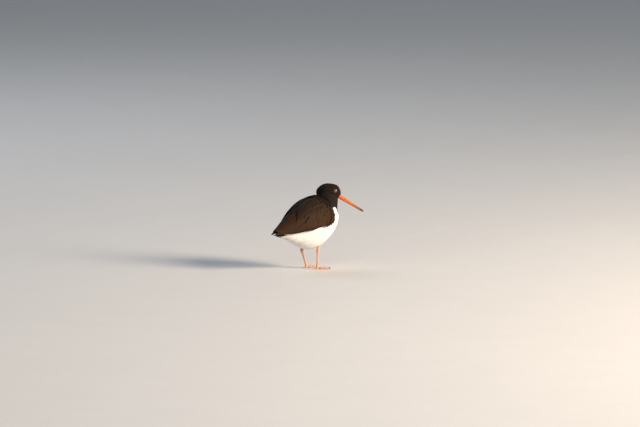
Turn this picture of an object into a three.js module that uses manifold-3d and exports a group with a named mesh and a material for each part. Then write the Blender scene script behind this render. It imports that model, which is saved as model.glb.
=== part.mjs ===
// A Eurasian oystercatcher at life size, standing hunched on both feet with its head turned to its right.
// Millimetres. +X is the way the body faces, +Y its left side, +Z up. The floor is at z = 0.
import * as THREE from "three";
import { mergeVertices } from "three/addons/utils/BufferGeometryUtils.js";
import Module from "manifold-3d";

const wasm = await Module();
wasm.setup();

// Gap between neighbouring pieces, and how far a cutter is grown to leave it.
const GAP = 0.3;
const SIDES = [
  ["left", 1],
  ["right", -1],
];
const rad = THREE.MathUtils.degToRad;
const V = (x, y, z) => new THREE.Vector3(x, y, z);

// Body: breast to under-tail coverts, in sections across X.
const BREAST_X = 72;
const VENT_X = -142;
const BREAST_ROUND = 46;
const VENT_ROUND = 34;
// Each section: [x, height of its middle, half its depth, half its width].
const BODY = [
  [-142, 104, 9, 12],
  [-120, 108, 18, 20],
  [-90, 112.5, 37, 32],
  [-60, 118, 57, 45],
  [-30, 122.5, 69, 54],
  [0, 129, 69.5, 57],
  [30, 139, 60, 55],
  [72, 151, 46, 50.5],
];

// Neck: short and folded, its rings turning from the body's way to the head's.
const NECK_PATH = [V(43, 0, 146), V(45, 0, 166), V(47, 0, 182), V(51, 2, 197), V(56, 2, 211)];
const NECK_HALF_LENGTH = [[0, 32], [0.35, 34], [0.6, 33], [0.8, 31], [1, 27]];
const NECK_HALF_WIDTH = [[0, 38], [0.35, 31], [0.6, 26], [0.8, 23], [1, 19]];

// Head: its centre, its turn to the right of the body, and its nod below the horizontal.
const HEAD_CENTRE = V(58.2, 0.8, 213.4);
const HEAD_TURN = rad(-45);
const HEAD_NOD = rad(18);
const HEAD_BACK = -37;
const HEAD_FRONT = 34.5;
const HEAD_BACK_ROUND = 22;
const HEAD_FRONT_ROUND = 17;
// Each section: [along the head, height of its middle, half its depth, half its width].
const HEAD = [
  [-37, -9, 20, 18],
  [-15, -2.5, 22.8, 20.5],
  [0, 1, 23.2, 20],
  [15, 2.5, 21.8, 17.5],
  [34.5, 0, 15, 9.5],
];

// Eye: its place in the head's own frame (forward, to the side, up).
const EYE_FORWARD = 14.5;
const EYE_SIDE = 13.2;
const EYE_UP = 8.5;
const EYE_RADIUS = 5.2;
const LID_RING = 4;
const LID_THICK = 0.9;
const LID_OUT = 3.4;

// Bill: straight, deep and narrow, from the face to a blunt tip.
const BILL_DROP = rad(32);
const BILL_LENGTH = 78;
const BILL_ROOT_DEPTH = 13;
const BILL_ROOT_WIDTH = 9.6;
const BILL_TIP_DEPTH = 5.6;
const BILL_TIP_WIDTH = 3;
const BILL_SUNK = 9;
const BILL_ROOT_LOW = 5.5;
const MOUTH_LOW = 0.8;
const NOSTRIL_LENGTH = 11;
const NOSTRIL_FORWARD = 13;
const NOSTRIL_UP = 1.6;

// Wings: the rounded surface that the folded feathers lie on, in sections across X.
// Each section: [x, height of its middle, height of its top, half its width].
const WING = [
  [-175, 106, 113, 5],
  [-155, 108, 122, 14],
  [-130, 110, 137, 26],
  [-100, 114, 159, 40],
  [-70, 121, 182, 52],
  [-40, 127, 198, 60],
  [-10, 132, 204, 64],
  [20, 137, 204, 64],
  [40, 141, 201, 60],
];
const WING_BEND_X = 25;
const WING_BEND_ROUND = 16;
const WING_CORE_END_X = -138;
const WING_CORE_END_ROUND = 20;
const WING_DOWN = 1.8;
const WING_EDGE_X = 14;
const WING_EDGE_HEIGHT = 127;
const WING_EDGE_SLOPE = 0.115;

// Rows of wing feathers, from the ones that lie underneath to the ones on top. A place is [along X, degrees
// down from the ridge of the back]; each row runs from its first feather to its last, bowed forward between.
const WING_ROWS = [
  { root: [[-12, 82], [-60, 80]], tip: [[-78, 91], [-132, 84]], count: 4, width: [16, 15], rise: 0.2 },
  { root: [[6, 77], [-58, 70]], tip: [[-34, 90], [-100, 84]], count: 6, width: [18, 17], rise: 1 },
  { root: [[-30, 62], [-22, 30]], tip: [[-126, 76], [-150, 44]], count: 4, width: [21, 20], rise: 1.2 },
  { root: [[10, 63], [-44, 52]], tip: [[-24, 76], [-78, 68]], count: 5, width: [20, 19], rise: 1.8 },
  { root: [[12, 91], [13, 44]], tip: [[-13, 91], [-13, 49]], count: 5, width: [19, 19], rise: 1.4, bow: 8 },
  { root: [[10, 47], [-46, 34]], tip: [[-26, 56], [-98, 50]], count: 4, width: [23, 22], rise: 2.4 },
  { root: [[13, 27], [-34, 16]], tip: [[-22, 34], [-88, 27]], count: 3, width: [24, 22], rise: 2.2 },
  { root: [[13, 10], [-30, 6]], tip: [[-20, 13], [-78, 9]], count: 3, width: [21, 18], rise: 1.8 },
];
// A feather longer than this has the outline of a flight feather.
const LONG_FEATHER = 60;
const VANE_SUNK = -6;

// Primaries: long vanes stacked over the tail, from the longest to the shortest that shows.
const PRIMARIES = 5;
const PRIMARY_ROOT = V(-84, 40, 122);
const PRIMARY_TIPS = [-169, -140];
const PRIMARY_TIP_SIDE = 3.5;
const PRIMARY_TIP_HEIGHT = 108.5;
const PRIMARY_WIDTH = 11.5;
// From each primary to the next: how far its root, then its tip, moves inward or outward and up.
const PRIMARY_ROOT_STEP = V(2.5, -1.6, 1.5);
const PRIMARY_TIP_STEP = V(0, 2.6, 1.5);
const PRIMARY_BEND = V(0, 4.5, 3);

// Tail: twelve feathers in a narrow, closed fan under the wing tips.
const TAIL_FEATHERS = 12;
const TAIL_ROOT_X = -104;
const TAIL_TIP_X = -163;
const TAIL_ROOT_HEIGHT = 113;
const TAIL_TIP_HEIGHT = 103.5;
const TAIL_HALF_ROOT = 9;
const TAIL_HALF_SPREAD = 12;
const TAIL_FEATHER_WIDTH = 12;
// How much the outermost feathers lie lower and end sooner than the middle ones.
const TAIL_ROOT_DROOP = 1.2;
const TAIL_TIP_DROOP = 2.6;
const TAIL_ROUNDING = 5;
const TAIL_CORE = V(52, 30, 9);
const TAIL_CORE_DOWN = 6;

// Every vane's thickness at its root; its tip keeps two thirds of it. A vane's tilt is how far its lower edge
// stands out over the next.
const VANE_THICK = 0.9;
const WING_TILT = 0.9;
const PRIMARY_TILT = 0.5;
const TAIL_TILT = 0.25;

const UP = V(0, 0, 1);

// A smooth value through [place, value] keys: a cubic whose slope at a key is that of its neighbours.
function through(keys) {
  const slope = (i) => {
    const a = keys[Math.max(i - 1, 0)];
    const b = keys[Math.min(i + 1, keys.length - 1)];
    return (b[1] - a[1]) / (b[0] - a[0]);
  };
  return (x) => {
    let i = 0;
    while (i < keys.length - 2 && x > keys[i + 1][0]) i += 1;
    const [x0, y0] = keys[i];
    const [x1, y1] = keys[i + 1];
    const w = x1 - x0;
    const t = THREE.MathUtils.clamp((x - x0) / w, 0, 1);
    const rise = y1 - y0;
    const bend = (1 - t) * (slope(i) * w - rise) + t * (rise - slope(i + 1) * w);
    return y0 + t * rise + t * (1 - t) * bend;
  };
}

// One smooth value for each column of a table of sections after its first, which says where they are.
const columns = (table) => table[0].slice(1).map((_, k) => through(table.map((row) => [row[0], row[k + 1]])));

// How much of its full size a section keeps within a rounded end.
function rounded(fromEnd, length) {
  const t = THREE.MathUtils.clamp(1 - fromEnd / length, 0, 1);
  return Math.sqrt(Math.max(0, 1 - t * t));
}

// Solids
function solidOf(geometry) {
  const plain = new THREE.BufferGeometry();
  plain.setAttribute("position", geometry.getAttribute("position"));
  plain.setIndex(geometry.index);
  const merged = mergeVertices(plain, 1e-3);
  const vertProperties = merged.attributes.position.array;
  const build = (faces) => {
    const triVerts = new Uint32Array(faces);
    return new wasm.Manifold(new wasm.Mesh({ numProp: 3, vertProperties, triVerts }));
  };
  const faces = merged.index.array;
  const kept = [];
  for (let i = 0; i < faces.length; i += 3) {
    const [a, b, c] = faces.subarray(i, i + 3);
    if (a !== b && b !== c && c !== a) kept.push(a, b, c);
  }
  const made = build(kept);
  return made.volume() > 0 ? made : build(kept.reverse());
}

const joined = (solids) => solids.reduce((all, one) => all.add(one));
const without = (solid, cutters) => cutters.reduce((rest, cutter) => rest.subtract(cutter), solid);

// The largest closed surface of a solid, which fills sealed hollows and drops loose scraps.
function largest(solid) {
  return solid.decompose().reduce((a, b) => (b.volume() > a.volume() ? b : a));
}

const bird = new THREE.Group();
const PLUMAGE_BLACK = { color: 0x17130f, roughness: 0.7, metalness: 0 };
const PLUMAGE_WHITE = { color: 0xf1ece2, roughness: 0.8, metalness: 0 };
const BILL_ORANGE = { color: 0xe8601c, roughness: 0.4, metalness: 0 };
const LEG_PINK = { color: 0xd08a72, roughness: 0.5, metalness: 0 };
const CLAW_DARK = { color: 0x3a2c26, roughness: 0.45, metalness: 0 };
const EYE_RED = { color: 0x8c2a12, roughness: 0.1, metalness: 0 };

function place(name, solid, finish) {
  const { vertProperties, triVerts, numProp } = largest(solid).getMesh();
  const geometry = new THREE.BufferGeometry();
  const buffer = new THREE.InterleavedBuffer(new Float32Array(vertProperties), numProp);
  geometry.setAttribute("position", new THREE.InterleavedBufferAttribute(buffer, 3, 0));
  geometry.setIndex(new THREE.BufferAttribute(new Uint32Array(triVerts), 1));
  const mesh = new THREE.Mesh(geometry.toNonIndexed(), new THREE.MeshStandardMaterial(finish));
  mesh.geometry.computeVertexNormals();
  mesh.name = name;
  bird.add(mesh);
}

// Forms
// A sphere drawn out into rings: ringAt(t) gives each ring's centre, its two unit directions and half sizes.
function loft(sides, rings, ringAt) {
  const geometry = new THREE.SphereGeometry(1, sides, rings);
  const spots = geometry.getAttribute("position");
  for (let i = 0; i < spots.count; i += 1) {
    const p = V(0, 0, 0).fromBufferAttribute(spots, i);
    const t = Math.acos(THREE.MathUtils.clamp(p.y, -1, 1)) / Math.PI;
    const angle = Math.atan2(p.z, p.x);
    const ring = ringAt(t);
    const out = ring.centre.clone();
    const atPole = t < 1e-6 || t > 1 - 1e-6;
    if (!atPole) {
      out.addScaledVector(ring.side, ring.a * Math.cos(angle));
      out.addScaledVector(ring.up, ring.b * Math.sin(angle));
    }
    spots.setXYZ(i, out.x, out.y, out.z);
  }
  return solidOf(geometry);
}

// Spreads rings more closely near both ends, where the form rounds off.
const eased = (t) => (1 - Math.cos(Math.PI * t)) / 2;

// A limb along a curve, with half sizes that change along it and rounded ends.
function limb({ path, side, wide, deep, sides = 10, rings = 8, endRound = 3, grow = 0 }) {
  const curve = new THREE.CatmullRomCurve3(path);
  const long = curve.getLength();
  return loft(sides, rings, (t) => {
    const s = THREE.MathUtils.lerp(-grow / long, 1 + grow / long, eased(t));
    const inside = THREE.MathUtils.clamp(s, 0, 1);
    const centre = curve.getPointAt(inside);
    const ahead = curve.getTangentAt(inside);
    centre.addScaledVector(ahead, (s - inside) * long);
    const across = side(inside).clone();
    across.addScaledVector(ahead, -across.dot(ahead)).normalize();
    const up = new THREE.Vector3().crossVectors(ahead, across);
    const nearEnd = Math.min(s * long + grow, (1 - s) * long + grow);
    const keep = rounded(nearEnd, endRound + grow);
    return { centre, side: across, up, a: (wide(inside) + grow) * keep, b: (deep(inside) + grow) * keep };
  });
}

// A box from its lowest to its highest corner.
function block(low, high) {
  const size = high.clone().sub(low);
  const geometry = new THREE.BoxGeometry(size.x, size.y, size.z);
  geometry.translate(...low.clone().addScaledVector(size, 0.5).toArray());
  return solidOf(geometry);
}

// Body
const [bodyHeight, bodyHalfDepth, bodyHalfWidth] = columns(BODY);

function bodyForm(grow) {
  return loft(32, 20, (t) => {
    const x = THREE.MathUtils.lerp(BREAST_X + grow, VENT_X - grow, eased(t));
    const keep =
      rounded(BREAST_X + grow - x, BREAST_ROUND + grow) * rounded(x - VENT_X + grow, VENT_ROUND + grow);
    return {
      centre: V(x, 0, bodyHeight(x)),
      side: V(0, 1, 0),
      up: UP,
      a: (bodyHalfWidth(x) + grow) * keep,
      b: (bodyHalfDepth(x) + grow) * keep,
    };
  });
}

// Head
const headForward = V(Math.cos(HEAD_TURN), Math.sin(HEAD_TURN), 0);
const headSide = V(-Math.sin(HEAD_TURN), Math.cos(HEAD_TURN), 0);
const dropped = (way, angle) =>
  way.clone().multiplyScalar(Math.cos(angle)).addScaledVector(UP, -Math.sin(angle));
const headAxis = dropped(headForward, HEAD_NOD);
const headUp = new THREE.Vector3().crossVectors(headAxis, headSide);
const inHead = (forward, side, up) =>
  HEAD_CENTRE.clone()
    .addScaledVector(headAxis, forward)
    .addScaledVector(headSide, side)
    .addScaledVector(headUp, up);
const [headRise, headHalfDepth, headHalfWidth] = columns(HEAD);

function headForm(grow) {
  return loft(24, 16, (t) => {
    const s = THREE.MathUtils.lerp(HEAD_FRONT + grow, HEAD_BACK - grow, eased(t));
    const keep =
      rounded(HEAD_FRONT + grow - s, HEAD_FRONT_ROUND + grow) *
      rounded(s - HEAD_BACK + grow, HEAD_BACK_ROUND + grow);
    return {
      centre: inHead(s, 0, headRise(s)),
      side: headSide,
      up: headUp,
      a: (headHalfWidth(s) + grow) * keep,
      b: (headHalfDepth(s) + grow) * keep,
    };
  });
}

function eyeBall(side, grow) {
  const at = inHead(EYE_FORWARD, side * EYE_SIDE, EYE_UP);
  const geometry = new THREE.SphereGeometry(EYE_RADIUS + grow, 14, 10);
  geometry.translate(at.x, at.y, at.z);
  return solidOf(geometry);
}

// Neck
function neckForm(grow) {
  const turned = (s) => V(0, 1, 0).applyAxisAngle(UP, HEAD_TURN * THREE.MathUtils.smoothstep(s, 0.2, 1));
  return limb({
    path: NECK_PATH,
    side: turned,
    wide: through(NECK_HALF_WIDTH),
    deep: through(NECK_HALF_LENGTH),
    sides: 24,
    rings: 10,
    endRound: 8,
    grow,
  });
}

// Bill
const billAxis = dropped(headForward, BILL_DROP);
const billUp = new THREE.Vector3().crossVectors(billAxis, headSide);
const billRoot = inHead(HEAD_FRONT, 0, -BILL_ROOT_LOW);
const inBill = (forward, side, up) =>
  billRoot
    .clone()
    .addScaledVector(billAxis, forward)
    .addScaledVector(headSide, side)
    .addScaledVector(billUp, up);
const billHalfDepth = through([
  [0, BILL_ROOT_DEPTH / 2],
  [0.35, BILL_ROOT_DEPTH * 0.4],
  [0.75, BILL_TIP_DEPTH * 0.68],
  [1, BILL_TIP_DEPTH / 2],
]);
const billHalfWidth = through([
  [0, BILL_ROOT_WIDTH / 2],
  [0.35, BILL_ROOT_WIDTH * 0.4],
  [0.75, BILL_TIP_WIDTH * 0.75],
  [1, BILL_TIP_WIDTH / 2],
]);

function billForm() {
  return limb({
    path: [inBill(-BILL_SUNK, 0, 0), inBill(BILL_LENGTH / 2, 0, 0.3), inBill(BILL_LENGTH, 0, -0.4)],
    side: () => headSide,
    wide: billHalfWidth,
    deep: billHalfDepth,
    sides: 12,
    rings: 10,
    endRound: 4,
  });
}

// A big block whose lower or upper face is the line of the mouth.
function beyondMouth(way) {
  const size = V(300, 100, 60);
  const geometry = new THREE.BoxGeometry(...size.toArray());
  geometry.translate(0, 0, (way * (size.z + GAP)) / 2);
  const frame = new THREE.Matrix4().makeBasis(billAxis, headSide, billUp);
  frame.setPosition(inBill(0, 0, -MOUTH_LOW));
  return solidOf(geometry.applyMatrix4(frame));
}

function nostril(side) {
  const geometry = new THREE.SphereGeometry(1, 12, 8);
  geometry.scale(NOSTRIL_LENGTH / 2, 1.1, 0.9);
  const frame = new THREE.Matrix4()
    .makeBasis(billAxis, headSide, billUp)
    .setPosition(inBill(NOSTRIL_FORWARD, side * BILL_ROOT_WIDTH * 0.43, NOSTRIL_UP));
  return solidOf(geometry.applyMatrix4(frame));
}

// Legs: where the feathered thigh ends, the ankle, and the joint over the toes.
const KNEE = { left: V(-20, 21, 84), right: V(-8, -28, 84) };
const ANKLE = { left: V(-35, 19, 52), right: V(-18, -29, 51) };
const FOOT = { left: V(-20, 15.5, 6), right: V(-20, -28.5, 6) };
const FOOT_TOP = 8;
const LEG_TOP = 120;
// Half sizes across and fore and aft, from the thigh down.
const SHANK_HALF_WIDTH = [[0, 3], [0.18, 3.2], [0.3, 4], [0.42, 2.6], [0.85, 2.5], [1, 3.4]];
const SHANK_HALF_DEPTH = [[0, 3.2], [0.18, 3.6], [0.3, 4.6], [0.42, 3.1], [0.85, 2.8], [1, 3.4]];
const TOES = [
  { name: "inner", turn: -32, length: 31, thick: 2.7 },
  { name: "middle", turn: 2, length: 37, thick: 2.9 },
  { name: "outer", turn: 33, length: 33, thick: 2.7 },
];
const TOE_HALF_WIDTH = [[0, 1.15], [0.4, 1], [0.75, 0.95], [1, 0.8]];
const TOE_HALF_DEPTH = [[0, 1.08], [0.4, 0.95], [1, 0.85]];
const TOE_HEIGHTS = [[0, 6], [0.15, 4.2], [0.45, 2.1], [1, 2.1]];
const FOOT_TURN = { left: -8, right: -18 };
const HEEL_PAD = V(4.8, 4.2, 3);
const HEEL_PAD_SUNK = 0.9;
const CLAW = [[-2.5, 2.6], [1.5, 2.5], [4.5, 1]];
const CLAW_HALF_WIDTH = [[0, 1.6], [0.6, 1.2], [1, 0.5]];
const CLAW_HALF_DEPTH = [[0, 1.7], [0.6, 1.2], [1, 0.5]];
const CLAW_CLEAR = 0.3;

const facing = V(0, 1, 0);

function shankForm(name) {
  const ankle = ANKLE[name];
  const top = KNEE[name];
  return limb({
    path: [top, ankle.clone().lerp(top, 0.3), ankle, FOOT[name].clone().lerp(ankle, 0.5), FOOT[name]],
    side: () => facing,
    wide: through(SHANK_HALF_WIDTH),
    deep: through(SHANK_HALF_DEPTH),
    sides: 10,
    rings: 12,
    endRound: 2,
  });
}

// The swollen pad where the toes meet, under the end of the shank.
function heelPad(name) {
  const geometry = new THREE.SphereGeometry(1, 14, 10);
  geometry.scale(...HEEL_PAD.toArray());
  geometry.translate(FOOT[name].x, FOOT[name].y, HEEL_PAD.z - HEEL_PAD_SUNK);
  return solidOf(geometry);
}

// A place along a toe's line, at a height over the floor, and the way across that line.
function toeLine(name, toe, side) {
  const turn = rad(toe.turn * side + FOOT_TURN[name]);
  return {
    away: (far, z) => V(FOOT[name].x + far * Math.cos(turn), FOOT[name].y + far * Math.sin(turn), z),
    across: V(-Math.sin(turn), Math.cos(turn), 0),
  };
}

const times = (keys, size) => keys.map(([at, share]) => [at, share * size]);

function toeForm(name, toe, side) {
  const { away, across } = toeLine(name, toe, side);
  return limb({
    path: TOE_HEIGHTS.map(([share, z]) => away(share * toe.length, z)),
    side: () => across,
    wide: through(times(TOE_HALF_WIDTH, toe.thick)),
    deep: through(times(TOE_HALF_DEPTH, toe.thick)),
    sides: 8,
    rings: 7,
    endRound: 2.5,
  });
}

function clawForm(name, toe, side) {
  const { away, across } = toeLine(name, toe, side);
  return limb({
    path: CLAW.map(([far, z]) => away(toe.length + far, z)),
    side: () => across,
    wide: through(CLAW_HALF_WIDTH),
    deep: through(CLAW_HALF_DEPTH),
    sides: 6,
    rings: 5,
    endRound: 1,
  });
}

// Wings. Both lie folded on one rounded surface over the back: a spot on it is a place along the body,
// an angle down from the ridge of the back, and a height above the surface.
const [wingHeight, wingTop, wingHalfWidth] = columns(WING);

function onWing(side, x, angle, lift) {
  const high = wingTop(x) - wingHeight(x) + lift;
  const wide = wingHalfWidth(x) + lift;
  return V(x, side * wide * Math.sin(rad(angle)), wingHeight(x) + high * Math.cos(rad(angle)));
}

function outFromWing(side, x, angle) {
  return onWing(side, x, angle, 1).sub(onWing(side, x, angle, 0)).normalize();
}

// A vane: a flat feather from root to tip with both faces cut into the same triangles.
// spotAt(t) gives its midline and outAt(t) its outward way. The edge on the lower side stands out by `tilt`
// and the other sinks by as much, so that each vane overlaps the next.
function vane({ spotAt, outAt, side, width, tilt, outline }) {
  const rows = outline.length - 1;
  const sheet = new THREE.PlaneGeometry(1, 1, 1, rows);
  const flat = sheet.getAttribute("position");
  const count = flat.count;
  const spots = [];
  for (const face of [1, 0]) {
    for (let i = 0; i < count; i += 1) {
      const [t, share] = outline[Math.round((0.5 - flat.getY(i)) * rows)];
      const across = Math.sign(flat.getX(i));
      const out = outAt(t);
      const ahead = spotAt(Math.min(t + 0.02, 1)).sub(spotAt(Math.max(t - 0.02, 0))).normalize();
      const down = new THREE.Vector3().crossVectors(ahead, out).multiplyScalar(-side).normalize();
      const spot = spotAt(t)
        .addScaledVector(down, (across * width * share) / 2)
        .addScaledVector(out, across * tilt * share + (face - 0.5) * VANE_THICK * (1 - 0.35 * t));
      spots.push(...spot.toArray());
    }
  }
  const faces = [];
  const index = sheet.index.array;
  for (let i = 0; i < index.length; i += 3) {
    faces.push(index[i], index[i + 1], index[i + 2]);
    faces.push(index[i] + count, index[i + 2] + count, index[i + 1] + count);
  }
  const rim = [];
  for (let row = 0; row <= rows; row += 1) rim.push(2 * row);
  for (let row = rows; row >= 0; row -= 1) rim.push(2 * row + 1);
  rim.forEach((a, k) => {
    const b = rim[(k + 1) % rim.length];
    faces.push(b, a, a + count, b, a + count, b + count);
  });
  const geometry = new THREE.BufferGeometry();
  geometry.setAttribute("position", new THREE.Float32BufferAttribute(spots, 3));
  geometry.setIndex(faces);
  return solidOf(geometry);
}

// Outlines: how far along, and what share of the width. The long one is for flight feathers.
const SHORT_VANE = [[0, 0.55], [0.5, 1], [0.85, 0.8], [1, 0.3]];
const LONG_VANE = [[0, 0.6], [0.4, 1], [0.72, 0.95], [0.92, 0.62], [1, 0.2]];
const SQUARE_VANE = [[0, 0.6], [0.5, 1], [0.9, 0.95], [1, 0.45]];

// A covert, scapular, secondary or tertial, lying on the wing's surface.
function wingFeather(side, feather) {
  const { root, tip, width, rise } = feather;
  const outline = root[0] - tip[0] > LONG_FEATHER ? LONG_VANE : SHORT_VANE;
  const x = (t) => THREE.MathUtils.lerp(root[0], tip[0], t);
  const angle = (t) => THREE.MathUtils.lerp(root[1], tip[1], t);
  const lift = (t) => THREE.MathUtils.lerp(VANE_SUNK, rise, 1 - (1 - t) ** 2);
  return vane({
    spotAt: (t) => onWing(side, x(t), angle(t), lift(t)),
    outAt: (t) => outFromWing(side, x(t), angle(t)),
    side,
    width,
    tilt: WING_TILT,
    outline,
  });
}

// A row of like feathers, spread evenly between its first and last.
function wingRow(side, { count, root, tip, width, bow = 0, ...rest }) {
  return Array.from({ length: count }, (_, i) => {
    const t = i / (count - 1);
    const between = (pair) => [
      THREE.MathUtils.lerp(pair[0][0], pair[1][0], t) + bow * Math.sin(Math.PI * t),
      THREE.MathUtils.lerp(pair[0][1], pair[1][1], t),
    ];
    const wide = THREE.MathUtils.lerp(width[0], width[1], t);
    return wingFeather(side, { root: between(root), tip: between(tip), width: wide, ...rest });
  });
}

function primary(side, i) {
  const mirror = V(1, side, 1);
  const root = PRIMARY_ROOT.clone().addScaledVector(PRIMARY_ROOT_STEP, i).multiply(mirror);
  const tipX = THREE.MathUtils.lerp(PRIMARY_TIPS[0], PRIMARY_TIPS[1], i / (PRIMARIES - 1));
  const tip = V(tipX, PRIMARY_TIP_SIDE, PRIMARY_TIP_HEIGHT)
    .addScaledVector(PRIMARY_TIP_STEP, i)
    .multiply(mirror);
  const bend = root.clone().lerp(tip, 0.5).add(PRIMARY_BEND.clone().multiply(mirror));
  const curve = new THREE.QuadraticBezierCurve3(root, bend, tip);
  const out = V(0.1, side * 0.62, 0.78).normalize();
  return vane({
    spotAt: (t) => curve.getPoint(t),
    outAt: () => out,
    side,
    width: PRIMARY_WIDTH,
    tilt: PRIMARY_TILT,
    outline: LONG_VANE,
  });
}

// The wing's own flesh and down, under the vanes.
function wingCore(side) {
  return loft(22, 12, (t) => {
    const x = THREE.MathUtils.lerp(WING_BEND_X, WING_CORE_END_X, eased(t));
    const keep =
      rounded(WING_BEND_X - x, WING_BEND_ROUND) * rounded(x - WING_CORE_END_X, WING_CORE_END_ROUND);
    const half = wingTop(x) - wingHeight(x) - WING_DOWN;
    return {
      centre: V(x, 0, wingHeight(x)),
      side: V(0, side, 0),
      up: UP,
      a: (wingHalfWidth(x) - WING_DOWN) * keep,
      b: half * keep,
    };
  });
}

// Everything on one side of the body's middle, above the wing's lower edge.
function wingRoom(side) {
  const middle = (side * GAP) / 2;
  const far = side * 200;
  const half = block(V(-300, Math.min(middle, far), 0), V(200, Math.max(middle, far), 300));
  const above = new THREE.BoxGeometry(500, 400, 200);
  above.translate(0, 0, 100);
  above.rotateY(-Math.atan(WING_EDGE_SLOPE));
  above.translate(WING_EDGE_X, 0, WING_EDGE_HEIGHT);
  return half.intersect(solidOf(above));
}

function wingForm(side) {
  const feathers = WING_ROWS.flatMap((row) => wingRow(side, row));
  const primaries = Array.from({ length: PRIMARIES }, (_, i) => primary(side, i));
  return joined([wingCore(side), ...feathers, ...primaries]).intersect(wingRoom(side));
}

// Tail
function tailFeather(i) {
  const spread = (i - (TAIL_FEATHERS - 1) / 2) / ((TAIL_FEATHERS - 1) / 2);
  const side = Math.sign(spread);
  const away = Math.abs(spread);
  const root = V(TAIL_ROOT_X, TAIL_HALF_ROOT * spread, TAIL_ROOT_HEIGHT - TAIL_ROOT_DROOP * away);
  const tip = V(
    TAIL_TIP_X + TAIL_ROUNDING * away * away,
    TAIL_HALF_SPREAD * spread,
    TAIL_TIP_HEIGHT - TAIL_TIP_DROOP * away,
  );
  return vane({
    spotAt: (t) => root.clone().lerp(tip, t),
    outAt: () => V(0, side * 0.25 * away, 1).normalize(),
    side,
    width: TAIL_FEATHER_WIDTH,
    tilt: TAIL_TILT,
    outline: SQUARE_VANE,
  });
}

function tailForm() {
  const fan = new THREE.SphereGeometry(0.5, 16, 10);
  fan.scale(...TAIL_CORE.toArray());
  fan.rotateY(-Math.atan2(TAIL_ROOT_HEIGHT - TAIL_TIP_HEIGHT, TAIL_ROOT_X - TAIL_TIP_X));
  fan.translate(TAIL_ROOT_X - TAIL_CORE.x * 0.35, 0, TAIL_ROOT_HEIGHT - TAIL_CORE_DOWN);
  const feathers = Array.from({ length: TAIL_FEATHERS }, (_, i) => tailFeather(i));
  return joined([solidOf(fan), ...feathers]);
}

// Every neighbour of the torso, the head or the neck is cut by a copy of it that has grown by the gap.
const body = bodyForm(0);
const bodyCut = bodyForm(GAP);
const head = headForm(0);
const headCut = headForm(GAP);
const neck = without(neckForm(0), [bodyCut, headCut]);
const neckCut = neckForm(GAP);

function lidRing(side) {
  const ring = new THREE.TorusGeometry(LID_RING, LID_THICK, 6, 14);
  const frame = new THREE.Matrix4().makeBasis(headAxis, headUp, headSide);
  frame.setPosition(inHead(EYE_FORWARD, side * (EYE_SIDE + LID_OUT), EYE_UP));
  return solidOf(ring.applyMatrix4(frame));
}

function placeHead() {
  const lids = SIDES.map(([, side]) => lidRing(side));
  const sockets = SIDES.map(([, side]) => eyeBall(side, GAP));
  place("head", without(joined([head, ...lids]), [...sockets, bodyCut]), PLUMAGE_BLACK);
  for (const [name, side] of SIDES) place(`eye_${name}`, eyeBall(side, 0), EYE_RED);
  const bill = billForm().subtract(headCut);
  const upper = bill.intersect(beyondMouth(1));
  place("bill_upper", without(upper, [nostril(1), nostril(-1)]), BILL_ORANGE);
  place("bill_lower", bill.intersect(beyondMouth(-1)), BILL_ORANGE);
}

function placeWing(name, side) {
  place(`wing_${name}`, without(wingForm(side), [bodyCut, headCut, neckCut]), PLUMAGE_BLACK);
}

function placeLeg(name, side) {
  const { x, y } = FOOT[name];
  const around = (low, high) => block(V(x - 60, y - 60, low), V(x + 60, y + 60, high));
  const shank = shankForm(name).subtract(bodyCut);
  const toes = TOES.map((toe) => toeForm(name, toe, side));
  place(`leg_${name}`, shank.intersect(around(FOOT_TOP + GAP, LEG_TOP)), LEG_PINK);
  place(`foot_${name}`, joined([shank, heelPad(name), ...toes]).intersect(around(0, FOOT_TOP)), LEG_PINK);
  TOES.forEach((toe, i) => {
    const claw = clawForm(name, toe, side).subtract(toes[i]);
    place(`claw_${name}_${toe.name}`, claw.intersect(around(CLAW_CLEAR, FOOT_TOP)), CLAW_DARK);
  });
}

place("torso", body, PLUMAGE_WHITE);
place("neck", neck, PLUMAGE_BLACK);
place("tail", tailForm().subtract(bodyCut), PLUMAGE_BLACK);
placeHead();
for (const [name, side] of SIDES) {
  placeWing(name, side);
  placeLeg(name, side);
}

// The frame's origin: on the floor, under the middle of the whole bird.
const extent = new THREE.Box3().setFromObject(bird);
const middle = extent.getCenter(new THREE.Vector3());
bird.position.set(-middle.x, -middle.y, -extent.min.z);
bird.updateMatrixWorld(true);
export default bird;
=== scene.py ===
import itertools
import math

import bpy
import numpy as np
from bpy.props import FloatProperty, FloatVectorProperty, IntProperty, PointerProperty
from mathutils import Matrix, Vector
from mathutils.bvhtree import BVHTree


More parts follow.
